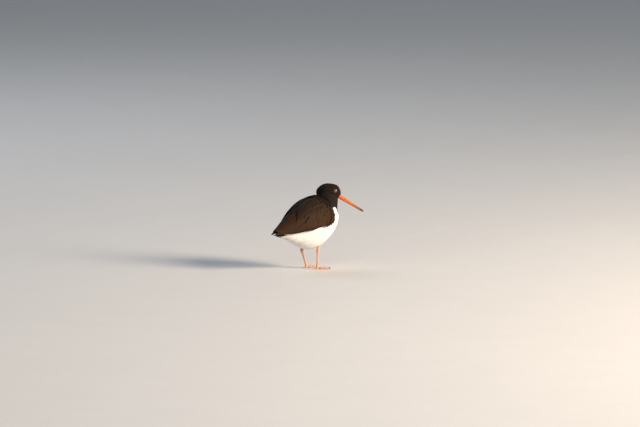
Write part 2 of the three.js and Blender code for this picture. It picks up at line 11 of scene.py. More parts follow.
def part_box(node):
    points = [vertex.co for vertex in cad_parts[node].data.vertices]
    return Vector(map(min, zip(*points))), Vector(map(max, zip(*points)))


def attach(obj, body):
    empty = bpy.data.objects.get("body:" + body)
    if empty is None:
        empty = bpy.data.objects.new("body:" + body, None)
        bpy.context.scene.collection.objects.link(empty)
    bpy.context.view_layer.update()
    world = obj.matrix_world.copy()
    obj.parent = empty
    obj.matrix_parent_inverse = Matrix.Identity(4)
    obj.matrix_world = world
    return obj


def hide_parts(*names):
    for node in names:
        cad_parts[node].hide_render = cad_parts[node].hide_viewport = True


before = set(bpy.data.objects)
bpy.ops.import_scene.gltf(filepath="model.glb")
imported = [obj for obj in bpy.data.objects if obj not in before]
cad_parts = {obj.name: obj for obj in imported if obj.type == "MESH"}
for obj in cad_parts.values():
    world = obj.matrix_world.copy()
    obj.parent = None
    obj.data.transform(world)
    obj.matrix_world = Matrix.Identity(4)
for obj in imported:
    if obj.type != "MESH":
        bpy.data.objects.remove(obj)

bl_info = {
    "name": "Oystercatcher",
    "version": (1, 0, 0),
    "blender": (4, 5, 0),
    "location": "View3D > Sidebar > Oystercatcher",
    "description": "Dresses the packed oystercatcher with skin, feathers, bill, eyes and legs",
    "category": "Add Mesh",
}

# Every length below is in millimetres in the bird's own frame: +X the way the body faces, +Y its left, +Z up.
MM = 0.001
SIDES = (("left", 1), ("right", -1))
UP, LEFT = np.array((0.0, 0.0, 1.0)), np.array((0.0, 1.0, 0.0))
FULL_TURN = 2 * math.pi

# The same driving sizes as the solids have.
BREAST_X, VENT_X = 72, -142
BREAST_ROUND, VENT_ROUND = 46, 34
# Each section: x, height of its middle, half its depth, half its width.
BODY = [
    (-142, 104, 9, 12), (-120, 108, 18, 20), (-90, 112.5, 37, 32), (-60, 118, 57, 45),
    (-30, 122.5, 69, 54), (0, 129, 69.5, 57), (30, 139, 60, 55), (72, 151, 46, 50.5),
]
NECK_PATH = [(43, 0, 146), (45, 0, 166), (47, 0, 182), (51, 2, 197), (56, 2, 211)]
NECK = [(0, 32, 38), (0.35, 34, 31), (0.6, 33, 26), (0.8, 31, 23), (1, 27, 19)]
HEAD_CENTRE = np.array((58.2, 0.8, 213.4))
HEAD_TURN, HEAD_NOD = math.radians(-45), math.radians(18)
HEAD_BACK, HEAD_FRONT = -37, 34.5
HEAD_BACK_ROUND, HEAD_FRONT_ROUND = 22, 17
# Each section: place along the head, height of its middle, half its depth, half its width.
HEAD = [
    (-37, -9, 20, 18), (-15, -2.5, 22.8, 20.5), (0, 1, 23.2, 20), (15, 2.5, 21.8, 17.5), (34.5, 0, 15, 9.5),
]
EYE_PLACE = (14.5, 13.2, 8.5)
EYE_RADIUS, LID_RING, LID_THICK = 5.2, 4.0, 0.9
BILL_DROP = math.radians(32)
BILL_LENGTH, BILL_SUNK, BILL_ROOT_LOW = 78, 9, 5.5
BILL = [(0, 6.5, 4.8), (0.35, 5.2, 3.84), (0.75, 3.8, 2.25), (1, 2.8, 1.5)]
# Each section: x, height of its middle, height of its top, half its width.
WING = [
    (-175, 106, 113, 5), (-155, 108, 122, 14), (-130, 110, 137, 26), (-100, 114, 159, 40),
    (-70, 121, 182, 52), (-40, 127, 198, 60), (-10, 132, 204, 64), (20, 137, 204, 64), (40, 141, 201, 60),
]
WING_BEND_X, WING_BEND_ROUND = 25, 16
WING_CORE_END_X, WING_CORE_END_ROUND = -138, 20
WING_EDGE_X, WING_EDGE_HEIGHT, WING_EDGE_SLOPE = 14, 127, 0.115
KNEE = {"left": np.array((-20, 21, 84.0)), "right": np.array((-8, -28, 84.0))}
ANKLE = {"left": np.array((-35, 19, 52.0)), "right": np.array((-18, -29, 51.0))}
FOOT = {"left": np.array((-20, 15.5, 6.0)), "right": np.array((-20, -28.5, 6.0))}
FOOT_TURN = {"left": -8, "right": -18}
TOES = [("inner", -32, 31, 2.7), ("middle", 2, 37, 2.9), ("outer", 33, 33, 2.7)]


def unit(v):
    return v / np.maximum(np.linalg.norm(v, axis=-1, keepdims=True), 1e-9)


def square_to(v, way):
    """The part of v at right angles to a direction, at unit length."""
    return unit(v - way * (v * way).sum(-1, keepdims=True))


def blend(a, b, share):
    return np.asarray(a, float) * (1 - share) + np.asarray(b, float) * share


def between(ends, share):
    return ends[0] + (ends[1] - ends[0]) * share


def level(turn):
    """The level direction at a turn from +X."""
    return np.array((math.cos(turn), math.sin(turn), 0))


def beside(turn):
    """The level direction a quarter turn to the left of that one."""
    return np.array((-math.sin(turn), math.cos(turn), 0))


def through(keys):
    """A smooth value through (place, value) keys, which takes and gives arrays."""
    at, value = (np.array(column, float) for column in zip(*keys))
    order = np.arange(len(at))
    low, high = np.maximum(order - 1, 0), np.minimum(order + 1, len(at) - 1)
    slope = (value[high] - value[low]) / (at[high] - at[low])

    def evaluate(x):
        x = np.asarray(x, float)
        i = np.clip(np.searchsorted(at, x) - 1, 0, len(at) - 2)
        wide = at[i + 1] - at[i]
        t = np.clip((x - at[i]) / wide, 0, 1)
        rise = value[i + 1] - value[i]
        bend = (1 - t) * (slope[i] * wide - rise) + t * (rise - slope[i + 1] * wide)
        return value[i] + t * rise + t * (1 - t) * bend

    return evaluate


def columns(table):
    """One smooth value for each column of a table of sections after its first, which says where they are."""
    at, *values = zip(*table)
    return [through(list(zip(at, value))) for value in values]


def path_through(points):
    """A smooth path through points, as a function of the share of its length."""
    points = np.array(points, float)
    steps = np.linalg.norm(np.diff(points, axis=0), axis=1)
    at = np.concatenate(([0], np.cumsum(steps))) / steps.sum()
    axes = [through(list(zip(at, points[:, k]))) for k in range(3)]
    return lambda t: np.stack([axis(t) for axis in axes], -1)


def heading(path, t, step=0.01):
    """Which way a path runs at each share of its length."""
    return unit(path(np.minimum(t + step, 1)) - path(np.maximum(t - step, 0)))


def smoothstep(x, low, high):
    t = np.clip((np.asarray(x, float) - low) / (high - low), 0, 1)
    return t * t * (3 - 2 * t)


def rounded(from_end, length):
    """How much of its full size a section keeps within a rounded end."""
    return np.sqrt(1 - np.clip(1 - from_end / length, 0, 1) ** 2)


def both_rounded(from_start, from_end, rounds, least=0.01):
    """How much of their full size sections keep between two rounded ends."""
    return np.maximum(rounded(from_start, rounds[0]) * rounded(from_end, rounds[1]), least)


def along(count):
    """Shares from 0 to 1, closer together near both ends."""
    return (1 - np.cos(np.pi * np.linspace(0, 1, count))) / 2


# The head's and the bill's own directions.
head_forward, head_side = level(HEAD_TURN), beside(HEAD_TURN)
head_axis = head_forward * math.cos(HEAD_NOD) - UP * math.sin(HEAD_NOD)
head_up = np.cross(head_axis, head_side)
bill_axis = head_forward * math.cos(BILL_DROP) - UP * math.sin(BILL_DROP)
bill_up = np.cross(bill_axis, head_side)


def in_head(forward, side, up):
    place = HEAD_CENTRE
    for far, way in ((forward, head_axis), (side, head_side), (up, head_up)):
        place = place + np.multiply.outer(far, way)
    return place


bill_root = in_head(HEAD_FRONT, 0, -BILL_ROOT_LOW)


def eye_centre(side):
    forward, out, up = EYE_PLACE
    return in_head(forward, side * out, up)


# The solids were moved to stand over the frame's origin: the right eye shows by how much.
low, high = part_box("eye_right")
SHIFT = np.array((low + high) / 2) - eye_centre(-1) * MM


def to_model(points):
    return np.asarray(points, float) * MM + SHIFT


def to_bird(points):
    return (np.asarray(points, float) - SHIFT) / MM


# Meshes
RIM_ANGLE = math.radians(60)


def paint(mesh, title, values):
    """A number or a colour for each of the mesh's points."""
    values = np.asarray(values, float)
    if values.ndim == 1:
        mesh.attributes.new(title, "FLOAT", "POINT").data.foreach_set("value", values)
    else:
        full = np.column_stack([values, np.ones(len(values))])
        mesh.color_attributes.new(title, "FLOAT_COLOR", "POINT").data.foreach_set("color", full.ravel())


def new_piece(name, points, faces, material, slot, replaces=(), colours=None, uvs=None):
    """A closed mesh of quads between millimetre points, which hides the parts it replaces."""
    mesh = bpy.data.meshes.new(name)
    faces = outward(points, faces)
    count, corners = faces.shape
    mesh.vertices.add(len(points))
    mesh.vertices.foreach_set("co", to_model(points).ravel())
    mesh.loops.add(count * corners)
    mesh.loops.foreach_set("vertex_index", faces.ravel())
    mesh.polygons.add(count)
    mesh.polygons.foreach_set("loop_start", np.arange(count) * corners)
    mesh.update(calc_edges=True)
    for title, values in (colours or {}).items():
        paint(mesh, title, values)
    for title, spots in (uvs or {}).items():
        mesh.uv_layers.new(name=title).uv.foreach_set("vector", spots[faces.ravel()].ravel())
    mesh.validate()
    finish_piece(bpy.data.objects.new(name, mesh), material, replaces)


def outward(points, faces):
    """The faces in the order that makes a closed form's volume positive."""
    a, b, c, d = (points[faces[:, k]] for k in range(4))
    volume = (np.cross(b - a, c - a) * a).sum() + (np.cross(c - a, d - a) * a).sum()
    return faces if volume > 0 else faces[:, ::-1]


def finish_piece(piece, material, replaces=()):
    if not piece.users_collection:
        bpy.context.scene.collection.objects.link(piece)
    piece.data.materials.clear()
    piece.data.materials.append(material)
    piece.data.shade_smooth()
    piece.data.set_sharp_from_angle(angle=RIM_ANGLE)
    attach(piece, "root")
    if replaces:
        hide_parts(*replaces)


def shaped(name, mesh, modify):
    """An object whose own mesh is what modifiers make of the given one."""
    piece = bpy.data.objects.new(name, mesh)
    bpy.context.scene.collection.objects.link(piece)
    modify(piece.modifiers)
    plain = bpy.data.meshes.new_from_object(piece.evaluated_get(bpy.context.evaluated_depsgraph_get()))
    piece.modifiers.clear()
    piece.data = plain
    bpy.data.meshes.remove(mesh)
    plain.name = name
    return piece


def fused(name, forms, voxel, smooth):
    """Overlapping closed forms made one even mesh."""
    points, faces, start = [], [], 0
    for spots, quads_between in forms:
        points.append(spots)
        faces.append(quads_between + start)
        start += len(spots)
    mesh = bpy.data.meshes.new(name)
    mesh.from_pydata(to_model(np.concatenate(points)).tolist(), [], np.concatenate(faces).tolist())

    def modify(modifiers):
        fuse = modifiers.new("Fuse", "REMESH")
        fuse.mode, fuse.voxel_size = "VOXEL", voxel
        relax = modifiers.new("Relax", "SMOOTH")
        relax.iterations, relax.factor = smooth, 0.5

    return shaped(name, mesh, modify)


def mesh_arrays(piece):
    """A piece's points in millimetres, and their outward directions."""
    mesh = piece.data
    spots, normals = np.zeros((2, len(mesh.vertices) * 3))
    mesh.vertices.foreach_get("co", spots)
    mesh.vertex_normals.foreach_get("vector", normals)
    return to_bird(spots.reshape(-1, 3)), normals.reshape(-1, 3)


def quads(grid):
    """Quads between neighbours in a grid of point numbers."""
    return np.stack([grid[:-1, :-1], grid[:-1, 1:], grid[1:, 1:], grid[1:, :-1]], -1).reshape(-1, 4)


def wrapped_quads(rings, sides, closed=False):
    """Quads round a tube, and from its last ring to its first where it is closed on itself."""
    grid = np.arange(rings * sides).reshape(rings, sides)
    return quads(np.pad(grid, ((0, int(closed)), (0, 1)), mode="wrap"))[:, [0, 3, 2, 1]]


def tube_faces(rings, sides):
    """Quads between neighbouring rings, and bands of quads across the first and the last ring."""
    k = np.arange(1, sides // 2)
    cap = np.stack([k - 1, k, sides - k - 1, sides - k], -1)
    return np.concatenate([wrapped_quads(rings, sides), cap, (cap + (rings - 1) * sides)[:, ::-1]])


def tube(centres, side, up, a, b, sides):
    """Points and quads of a closed form through rings with half sizes a along side and b along up."""
    angle = np.linspace(0, FULL_TURN, sides, endpoint=False)
    side, up = (np.broadcast_to(way, centres.shape)[:, None] for way in (side, up))
    ring = (
        centres[:, None]
        + side * (a[:, None] * np.cos(angle))[..., None]
        + up * (b[:, None] * np.sin(angle))[..., None]
    )
    return ring.reshape(-1, 3), tube_faces(len(centres), sides)


# Body forms
body_height, body_half_depth, body_half_width = columns(BODY)
neck_half_length, neck_half_width = columns(NECK)
head_rise, head_half_depth, head_half_width = columns(HEAD)
bill_half_depth, bill_half_width = columns(BILL)
wing_height, wing_top, wing_half_width = columns(WING)
NECK_SPAN, NECK_ROUND = 68, 8


def torso_form():
    x = between((BREAST_X, VENT_X), along(60))
    keep = both_rounded(BREAST_X - x, x - VENT_X, (BREAST_ROUND, VENT_ROUND))
    centres = np.stack([x, 0 * x, body_height(x)], -1)
    return tube(centres, LEFT, UP, body_half_width(x) * keep, body_half_depth(x) * keep, 64)


def head_form():
    s = between((HEAD_FRONT, HEAD_BACK), along(40))
    keep = both_rounded(HEAD_FRONT - s, s - HEAD_BACK, (HEAD_FRONT_ROUND, HEAD_BACK_ROUND))
    centres = in_head(s, 0 * s, head_rise(s))
    return tube(centres, head_side, head_up, head_half_width(s) * keep, head_half_depth(s) * keep, 48)


def neck_form():
    t = np.linspace(0, 1, 24)
    path = path_through(NECK_PATH)
    ahead = heading(path, t)
    turn = HEAD_TURN * smoothstep(t, 0.2, 1)
    side = square_to(np.stack([-np.sin(turn), np.cos(turn), 0 * turn], -1), ahead)
    keep = both_rounded(t * NECK_SPAN, (1 - t) * NECK_SPAN, (NECK_ROUND, NECK_ROUND))
    wide, long = neck_half_width(t) * keep, neck_half_length(t) * keep
    return tube(path(t), side, np.cross(ahead, side), wide, long, 48)


def on_wing(side, x, angle, lift):
    """A place on the surface that the folded wings share, angle in degrees down from the back's ridge."""
    turn = np.radians(angle)
    high = wing_top(x) - wing_height(x) + lift
    wide = wing_half_width(x) + lift
    return np.stack([x + 0 * turn, side * wide * np.sin(turn), wing_height(x) + high * np.cos(turn)], -1)


def wing_edge(x):
    """The height of the folded wing's lower edge."""
    return WING_EDGE_HEIGHT + WING_EDGE_SLOPE * (x - WING_EDGE_X)


# Markings
BIB_EDGE, BACK_EDGE = 156, 139
BLACK_END_X = -100
# From back to breast the edge of the black rises between these places.
EDGE_RISE_X = 5, 42
EDGE_SOFT, REAR_SOFT, SPUR_BEHIND, SPUR_RAGGED = 0.8, 2, 0.7, 0.3
SPUR_FOOT, SPUR_TOP = np.array((40, 46.5, 150.0)), np.array((34, 42, 177.0))
SPUR_WIDTH = (10.5, 5.5)


def whiteness(p, ragged=0):
    """How white the plumage is at each place: 0 on head, breast and back, 1 below and on the spur."""
    x, y, z = np.moveaxis(np.asarray(p, float), -1, 0)
    edge = between((BACK_EDGE, BIB_EDGE), smoothstep(x, *EDGE_RISE_X)) + ragged
    below = smoothstep(edge - z, -EDGE_SOFT, EDGE_SOFT)
    rear = smoothstep(BLACK_END_X - x + ragged, -REAR_SOFT, REAR_SOFT)
    spot = np.stack([x, np.abs(y), z], -1)
    line = SPUR_TOP - SPUR_FOOT
    t = np.clip(((spot - SPUR_FOOT) @ line) / (line @ line), 0, 1)
    off = spot - (SPUR_FOOT + t[..., None] * line)
    off = off * np.stack([off[..., 0] > 0, SPUR_BEHIND + 0 * t, 1 + 0 * t], -1)
    away = np.linalg.norm(off, axis=-1)
    spur = smoothstep(between(SPUR_WIDTH, t) - away + ragged * SPUR_RAGGED, -EDGE_SOFT, EDGE_SOFT)
    return np.maximum.reduce([below, rear, spur])


# Feathers
class Vane:
    """A feather's mesh: a grid whose two faces meet at its rim, shared by many feathers of one kind."""

    def __init__(self, columns, rows):
        self.columns, self.rows = np.array(columns, float), np.linspace(0, 1, rows)
        wide, count = len(columns), len(columns) * rows
        top = np.arange(count).reshape(rows, wide)
        inner, under = top[1:-1, 1:-1], top.copy()
        under[1:-1, 1:-1] = count + np.arange(inner.size).reshape(inner.shape)
        self.inner = inner.ravel()
        self.faces = np.concatenate([quads(top), quads(under)[:, ::-1]])
        v, u = (part.ravel() for part in np.meshgrid(self.rows, self.columns, indexing="ij"))
        self.u, self.v = (np.concatenate([part, part[self.inner]]) for part in (u, v))

    def make(self, path, out, width, rng, outline, camber, thick, rounding, jag, shaft=0.0):
        """Points of every feather. path and out are (feathers, rows, 3), width is (feathers,), all in mm."""
        ahead = np.gradient(path, axis=1)
        length = np.linalg.norm(ahead, axis=-1).sum(1)
        ahead = unit(ahead)
        out = square_to(out, ahead)
        across = np.cross(ahead, out)
        u, v = self.columns[None, None, :], self.rows[None, :, None]
        half = width[:, None, None] * outline(self.rows)[None, :, None] / 2
        notch = rng.uniform(-1, 1, (len(width), 1, len(self.columns))) * jag * smoothstep(v, 0.5, 1)
        curved = -rounding * np.abs(u) ** 2.2 * smoothstep(v, 0.35, 1) * half * 2
        back = curved + notch * length[:, None, None]
        ridge = shaft * (np.abs(u) < 0.04) * (1 - 0.6 * v)
        rise = -camber * u**2 * half + ridge
        path, out, across, ahead = (part[:, :, None] for part in (path, out, across, ahead))
        flat = path + across * (u * half)[..., None] + ahead * back[..., None]
        body = (1 - u**2) * thick / 2
        raised = lambda high: (flat + out * high[..., None]).reshape(len(width), -1, 3)
        return np.concatenate([raised(rise + body), raised(rise - body - 0.5 * ridge)[:, self.inner]], 1)


BODY_VANE = Vane((-1, -0.5, 0, 0.5, 1), 6)
HEAD_VANE = Vane((-1, 0, 1), 4)
WING_VANE = Vane((-1, -0.72, -0.4, -0.05, 0, 0.05, 0.4, 0.72, 1), 13)
BODY_OUTLINE = through([(0, 0.3), (0.3, 0.85), (0.6, 1), (0.85, 0.8), (1, 0.28)])
COVERT_OUTLINE = through([(0, 0.45), (0.35, 0.95), (0.7, 1), (0.88, 0.8), (0.96, 0.55), (1, 0.25)])
FLIGHT_OUTLINE = through([(0, 0.5), (0.3, 0.9), (0.65, 1), (0.86, 0.8), (0.95, 0.5), (1, 0.1)])
TAIL_OUTLINE = through([(0, 0.5), (0.4, 0.95), (0.85, 1), (0.96, 0.85), (1, 0.5)])
# For each kind of feather: how far its middle rises, its thickness, how far its sides curve back, how
# ragged its tip is, and how high the shaft stands.
BODY_SHAPE = {"outline": BODY_OUTLINE, "camber": 0.13, "thick": 0.1, "rounding": 0.35, "jag": 0.05}
RUFF_SHAPE = {
    "outline": COVERT_OUTLINE, "camber": 0.2, "thick": 0.28, "rounding": 0.4, "jag": 0.02, "shaft": 0.1,
}
WING_SHAPE = {"camber": 0.18, "thick": 0.28, "rounding": 0.35, "jag": 0.012, "shaft": 0.15}
TAIL_SHAPE = {
    "outline": TAIL_OUTLINE, "camber": 0.12, "thick": 0.4, "rounding": 0.3, "jag": 0.008, "shaft": 0.35,
}
TAIL_COVERT_SHAPE = {"outline": BODY_OUTLINE, "camber": 0.2, "thick": 0.25, "rounding": 0.4, "jag": 0.03}
# How much of the texture each small feather's patch takes.
PATCH = 0.003
# The unwrap's islands, each a corner and a size, and what part of the bird the neck's and the head's take.
TORSO_ISLAND, HEAD_ISLAND = ((0.02, 0.02), (0.96, 0.5)), ((0.52, 0.56), (0.46, 0.42))
NECK_ISLAND = ((0.02, 0.56), (0.46, 0.42))
NECK_FOOT, NECK_TALL, NECK_MIDDLE_X = 140, 80, 47
HEAD_OVER, NECK_OVER, NECK_BEFORE = -17, 168, 12


def island(corner, size, share, side, up):
    """Spots on one island of the unwrap: a share along it, and the turn round the form across it."""
    turn = np.arctan2(side, up) / FULL_TURN + 0.5
    return np.stack([corner[0] + size[0] * share, corner[1] + size[1] * turn], -1)


def unwrap(p):
    """Each place's spot on an unwrap of the skin: torso, neck and head each have their own island."""
    x, y, z = p.T
    s, side, up = ((p - HEAD_CENTRE) @ way for way in (head_axis, head_side, head_up))
    torso = island(*TORSO_ISLAND, (x - VENT_X) / (BREAST_X - VENT_X), y, z - body_height(x))
    head = island(*HEAD_ISLAND, (s - HEAD_BACK) / (HEAD_FRONT - HEAD_BACK), side, up)
    neck = island(*NECK_ISLAND, (z - NECK_FOOT) / NECK_TALL, y, x - NECK_MIDDLE_X)
    at_head = (up > HEAD_OVER) & (s > HEAD_BACK - 2)
    at_neck = ~at_head & (z > NECK_OVER) & (x > NECK_BEFORE)
    return np.where(at_head[:, None], head, np.where(at_neck[:, None], neck, torso))


def patches(vane, roots):
    """Each feather's OFBake patch at its root's place, with the feather's own width and length across it."""
    spot = np.clip(unwrap(roots), 0.01, 0.99)
    own = np.stack([vane.u / 2, vane.v - 0.5], -1) * PATCH
    return (spot[:, None] + own[None]).reshape(-1, 2)


def islands(vane, count):
    """One island of its own for each big feather, in a square grid."""
    wide = math.ceil(math.sqrt(count))
    k = np.arange(count)
    corner = np.stack([k % wide, k // wide], -1) / wide
    own = np.stack([0.5 + 0.42 * vane.u, 0.05 + 0.9 * vane.v], -1) / wide
    return (corner[:, None] + own[None]).reshape(-1, 2)


def feather_piece(name, vane, points, material, slot, tint, bake=None, replaces=()):
    """A piece of many feathers, points given as (feathers, places, 3)."""
    count, places = points.shape[:2]
    faces = (vane.faces[None] + np.arange(count)[:, None, None] * places).reshape(-1, 4)
    uvs = {
        "OFBake": islands(vane, count) if bake is None else bake,
        "Vane": np.tile(np.stack([vane.u / 2 + 0.5, vane.v], -1), (count, 1)),
    }
    new_piece(name, points.reshape(-1, 3), faces, material, slot, replaces, {"Plumage": tint}, uvs)


def tinted(vane, count, base, tip, edge, rng, spread=0.16, edge_share=0.0):
    """Colours of every feather point: from base to tip, each feather its own shade, with a paler fringe."""
    base, tip, edge = (np.broadcast_to(tone, (count, 3))[:, None] for tone in (base, tip, edge))
    shade = 1 + spread * rng.uniform(-1, 1, (count, 1, 1))
    u, v = np.abs(vane.u)[None, :, None], vane.v[None, :, None]
    rim = np.maximum(smoothstep(u, 0.72, 1), smoothstep(v, 0.82, 1)) * edge_share
    return np.clip(blend(blend(base, tip, smoothstep(v, 0.3, 1)), edge, rim) * shade, 0, 1).reshape(-1, 3)


# Materials
def feed(tree, made, inputs):
    """Sets a node's sockets, or links them to other sockets."""
    for name, value in inputs.items():
        socket = made.inputs[name]
        if isinstance(value, bpy.types.NodeSocket):
            tree.links.new(value, socket)
        else:
            socket.default_value = value


def node(tree, kind, inputs=None, **settings):
    made = tree.nodes.new(kind)
    for name, value in settings.items():
        setattr(made, name, value)
    feed(tree, made, inputs or {})
    return made


def worked_out(tree, operation, *values):
    return node(tree, "ShaderNodeMath", dict(enumerate(values)), operation=operation).outputs[0]


def shaded(tree, colour, amount):
    return node(tree, "ShaderNodeVectorMath", {0: colour, "Scale": amount}, operation="SCALE").outputs[0]


def new_material(name, shader):
    """A material with a Principled shader whose even values are set on its own sockets."""
    material = bpy.data.materials.new(name)
    material.use_nodes = True
    tree = material.node_tree
    tree.nodes.clear()
    principled = node(tree, "ShaderNodeBsdfPrincipled", shader)
    node(tree, "ShaderNodeOutputMaterial", {"Surface": principled.outputs["BSDF"]})
    return material, tree, principled


def mottle_group():
    """Uneven shade and fine relief, placed in every material with its own scale and strength."""
    found = bpy.data.node_groups.get("Mottle")
    if found:
        return found
    tree = bpy.data.node_groups.new("Mottle", "ShaderNodeTree")
    for title, way, kind in (
        ("Colour", "INPUT", "Color"), ("Scale", "INPUT", "Float"), ("Strength", "INPUT", "Float"),
        ("Colour", "OUTPUT", "Color"), ("Fine", "OUTPUT", "Float"),
    ):
        tree.interface.new_socket(title, in_out=way, socket_type=f"NodeSocket{kind}")
    entry = node(tree, "NodeGroupInput").outputs
    place = node(tree, "ShaderNodeTexCoord").outputs["Object"]
    finer = worked_out(tree, "MULTIPLY", entry["Scale"], 6.0)
    coarse, fine = (
        node(tree, "ShaderNodeTexNoise", {"Vector": place, "Scale": scale, "Detail": detail}).outputs["Fac"]
        for scale, detail in ((entry["Scale"], 4.0), (finer, 3.0))
    )
    centred = worked_out(tree, "SUBTRACT", worked_out(tree, "ADD", coarse, fine), 1.0)
    amount = worked_out(tree, "MULTIPLY_ADD", centred, entry["Strength"], 1.0)
    node(tree, "NodeGroupOutput", {"Colour": shaded(tree, entry["Colour"], amount), "Fine": fine})
    return tree


def mottle(tree, colour, scale, strength):
    inputs = {"Colour": colour, "Scale": scale, "Strength": strength}
    group = node(tree, "ShaderNodeGroup", node_tree=mottle_group())
    feed(tree, group, inputs)
    return group.outputs


def relief(tree, height, strength, distance):
    inputs = {"Height": height, "Strength": strength, "Distance": distance}
    return node(tree, "ShaderNodeBump", inputs).outputs["Normal"]


def spanned(tree, value, ends, **more):
    inputs = {"Value": value, "To Min": ends[0], "To Max": ends[1], **more}
    return node(tree, "ShaderNodeMapRange", inputs).outputs["Result"]


def roughness(tree, value, low, high):
    return spanned(tree, value, (low, high), **{"From Min": 0.3, "From Max": 0.7})


def plumage_material(name, barbs, rough, sheen, contrast=0.2):
    """Feather: its colour from the mesh, and barbs of a given contrast that run slantwise off the shaft."""
    shader = {"Sheen Weight": sheen, "Sheen Roughness": 0.5, "Specular IOR Level": 0.12}
    material, tree, principled = new_material(name, shader)
    colour = node(tree, "ShaderNodeAttribute", attribute_name="Plumage").outputs["Color"]
    varied = mottle(tree, colour, 260.0, 0.5)
    own = node(tree, "ShaderNodeUVMap", uv_map="Vane").outputs["UV"]
    spot = node(tree, "ShaderNodeSeparateXYZ", {"Vector": own}).outputs
    away = worked_out(tree, "ABSOLUTE", worked_out(tree, "SUBTRACT", spot["X"], 0.5))
    slant = worked_out(tree, "MULTIPLY_ADD", away, -0.55, spot["Y"])
    line = node(tree, "ShaderNodeCombineXYZ", {"X": slant}).outputs["Vector"]
    lines = {"Vector": line, "Scale": barbs, "Distortion": 0.6, "Detail": 1.0}
    wave = node(tree, "ShaderNodeTexWave", lines).outputs["Fac"]
    dim = spanned(tree, wave, (1 - contrast, 1 + contrast * 0.4))
    feed(tree, principled, {
        "Base Color": shaded(tree, varied["Colour"], dim),
        "Roughness": roughness(tree, varied["Fine"], rough - 0.08, rough + 0.1),
        "Normal": relief(tree, wave, contrast, 0.0001),
    })
    return material


def ramp(tree, stops):
    """Colours along the attribute Along."""
    place = node(tree, "ShaderNodeAttribute", attribute_name="Along").outputs["Fac"]
    made = node(tree, "ShaderNodeValToRGB", {"Fac": place})
    elements = made.color_ramp.elements
    while len(elements) < len(stops):
        elements.new(1)
    for element, (place, colour) in zip(elements, stops):
        element.position = place
        element.color = (*colour, 1)
    return made.outputs["Color"]


def horn_material(name, stops, rough, scale, strength):
    """Bill, claw or scaled skin: a run of colour, with fine uneven relief."""
    shader = {"Coat Weight": 0.25, "Coat Roughness": 0.25, "Specular IOR Level": 0.5}
    material, tree, principled = new_material(name, shader)
    varied = mottle(tree, ramp(tree, stops), scale, strength)
    feed(tree, principled, {
        "Base Color": varied["Colour"],
        "Roughness": roughness(tree, varied["Fine"], rough - 0.06, rough + 0.1),
        "Normal": relief(tree, varied["Fine"], 0.25, 0.00015),
    })
    return material


# Settings
def length(name, text, default):
    return FloatProperty(name=name, description=text, default=default, min=0.0, unit="LENGTH", precision=4)


def angle(name, text, degrees):
    return FloatProperty(name=name, description=text, default=math.radians(degrees), subtype="ANGLE")


def colour(name, text, tone):
    return FloatVectorProperty(
        name=name, description=text, default=tone, size=3, min=0.0, max=1.0, subtype="COLOR",
    )


class PlumageSettings(bpy.types.PropertyGroup):
    black: colour("Black", "Head, breast and back feathers", (0.0095, 0.0068, 0.0047))
    brown: colour("Brown", "Wing coverts and scapulars", (0.036, 0.0140, 0.0034))
    fringe: colour("Fringe", "Pale edges of the wing feathers", (0.072, 0.0300, 0.0085))
    flight: colour("Flight feathers", "Primaries, secondaries and tail", (0.017, 0.0105, 0.0068))
    white: colour("White", "Belly, vent, rump and shoulder spur", (0.86, 0.84, 0.80))
    body_spacing: length("Body spacing", "Distance between the roots of body feathers", 0.0028)
    head_spacing: length("Head spacing", "Distance between the roots of head feathers", 0.0010)
    body_feather: length("Body feather", "Length of a belly or breast feather", 0.015)
    head_feather: length("Head feather", "Length of a crown feather", 0.0062)
    body_depth: length("Body depth", "How far the skin lies under the coat on the body", 0.0016)
    head_depth: length("Head depth", "How far the skin lies under the coat on the head", 0.0006)
    seed: IntProperty(name="Seed", description="Seed of every random draw", default=7, min=0)


class SoftPartSettings(bpy.types.PropertyGroup):
    bill_root: colour("Bill root", "Bill near the face", (0.78, 0.15, 0.03))
    bill_middle: colour("Bill middle", "Bill half way", (0.60, 0.165, 0.03))
    bill_tip: colour("Bill tip", "Dusky tip of a young or winter bird", (0.14, 0.078, 0.05))
    legs: colour("Legs", "Dull pink skin of the legs", (0.68, 0.35, 0.23))
    joints: colour("Joints", "Darker skin at the ankle and toe joints", (0.52, 0.24, 0.155))
    claws: colour("Claws", "Horn of the claws", (0.05, 0.036, 0.03))
    iris: colour("Iris", "Dull orange red of the eye", (0.20, 0.045, 0.015))
    lids: colour("Lids", "Bare ring round the eye", (0.24, 0.08, 0.03))
    scute: length("Scute", "Length of one scale on the leg", 0.0017)


class StageSettings(bpy.types.PropertyGroup):
    azimuth: angle("Azimuth", "Camera's way round the bird", -45)
    elevation: angle("Elevation", "Camera's height", 7)
    distance: length("Distance", "Camera to bird", 12.0)
    pixel: length("Pixel", "Length that one of the photograph's pixels covers at the bird", 0.00285)
    floor: colour("Floor", "Plain floor", (0.70, 0.70, 0.69))
    key: FloatProperty(name="Key", description="Power of the warm main light", default=660.0, min=0.0)
    fill: FloatProperty(name="Fill", description="Strength of the even light", default=0.29, min=0.0)


# Skin
class BIRD_OT_skin(bpy.types.Operator):
    """One skin over torso, neck and head, inside the solids by the depth of the coat"""

    bl_idname = "bird.skin"
    bl_label = "Skin"

    def execute(self, context):
        look = context.scene.bird_plumage
        skin = fused("skin", (torso_form(), neck_form(), head_form()), voxel=0.0022, smooth=8)
        spots, normals = mesh_arrays(skin)
        depth = between((look.body_depth, look.head_depth), smoothstep(spots[:, 2], 165, 200))
        spots -= normals * depth[:, None] / MM
        skin.data.vertices.foreach_set("co", to_model(spots).ravel())
        under_white = np.array(look.white) * 0.8
        paint(skin.data, "Plumage", blend(look.black, under_white, whiteness(spots)[:, None]))
        skin.data.uv_layers.new(name="Vane")
        down = plumage_material("down", 8.0, 0.75, 0.05)
        finish_piece(skin, down, ("torso", "neck", "head"))
        return {"FINISHED"}


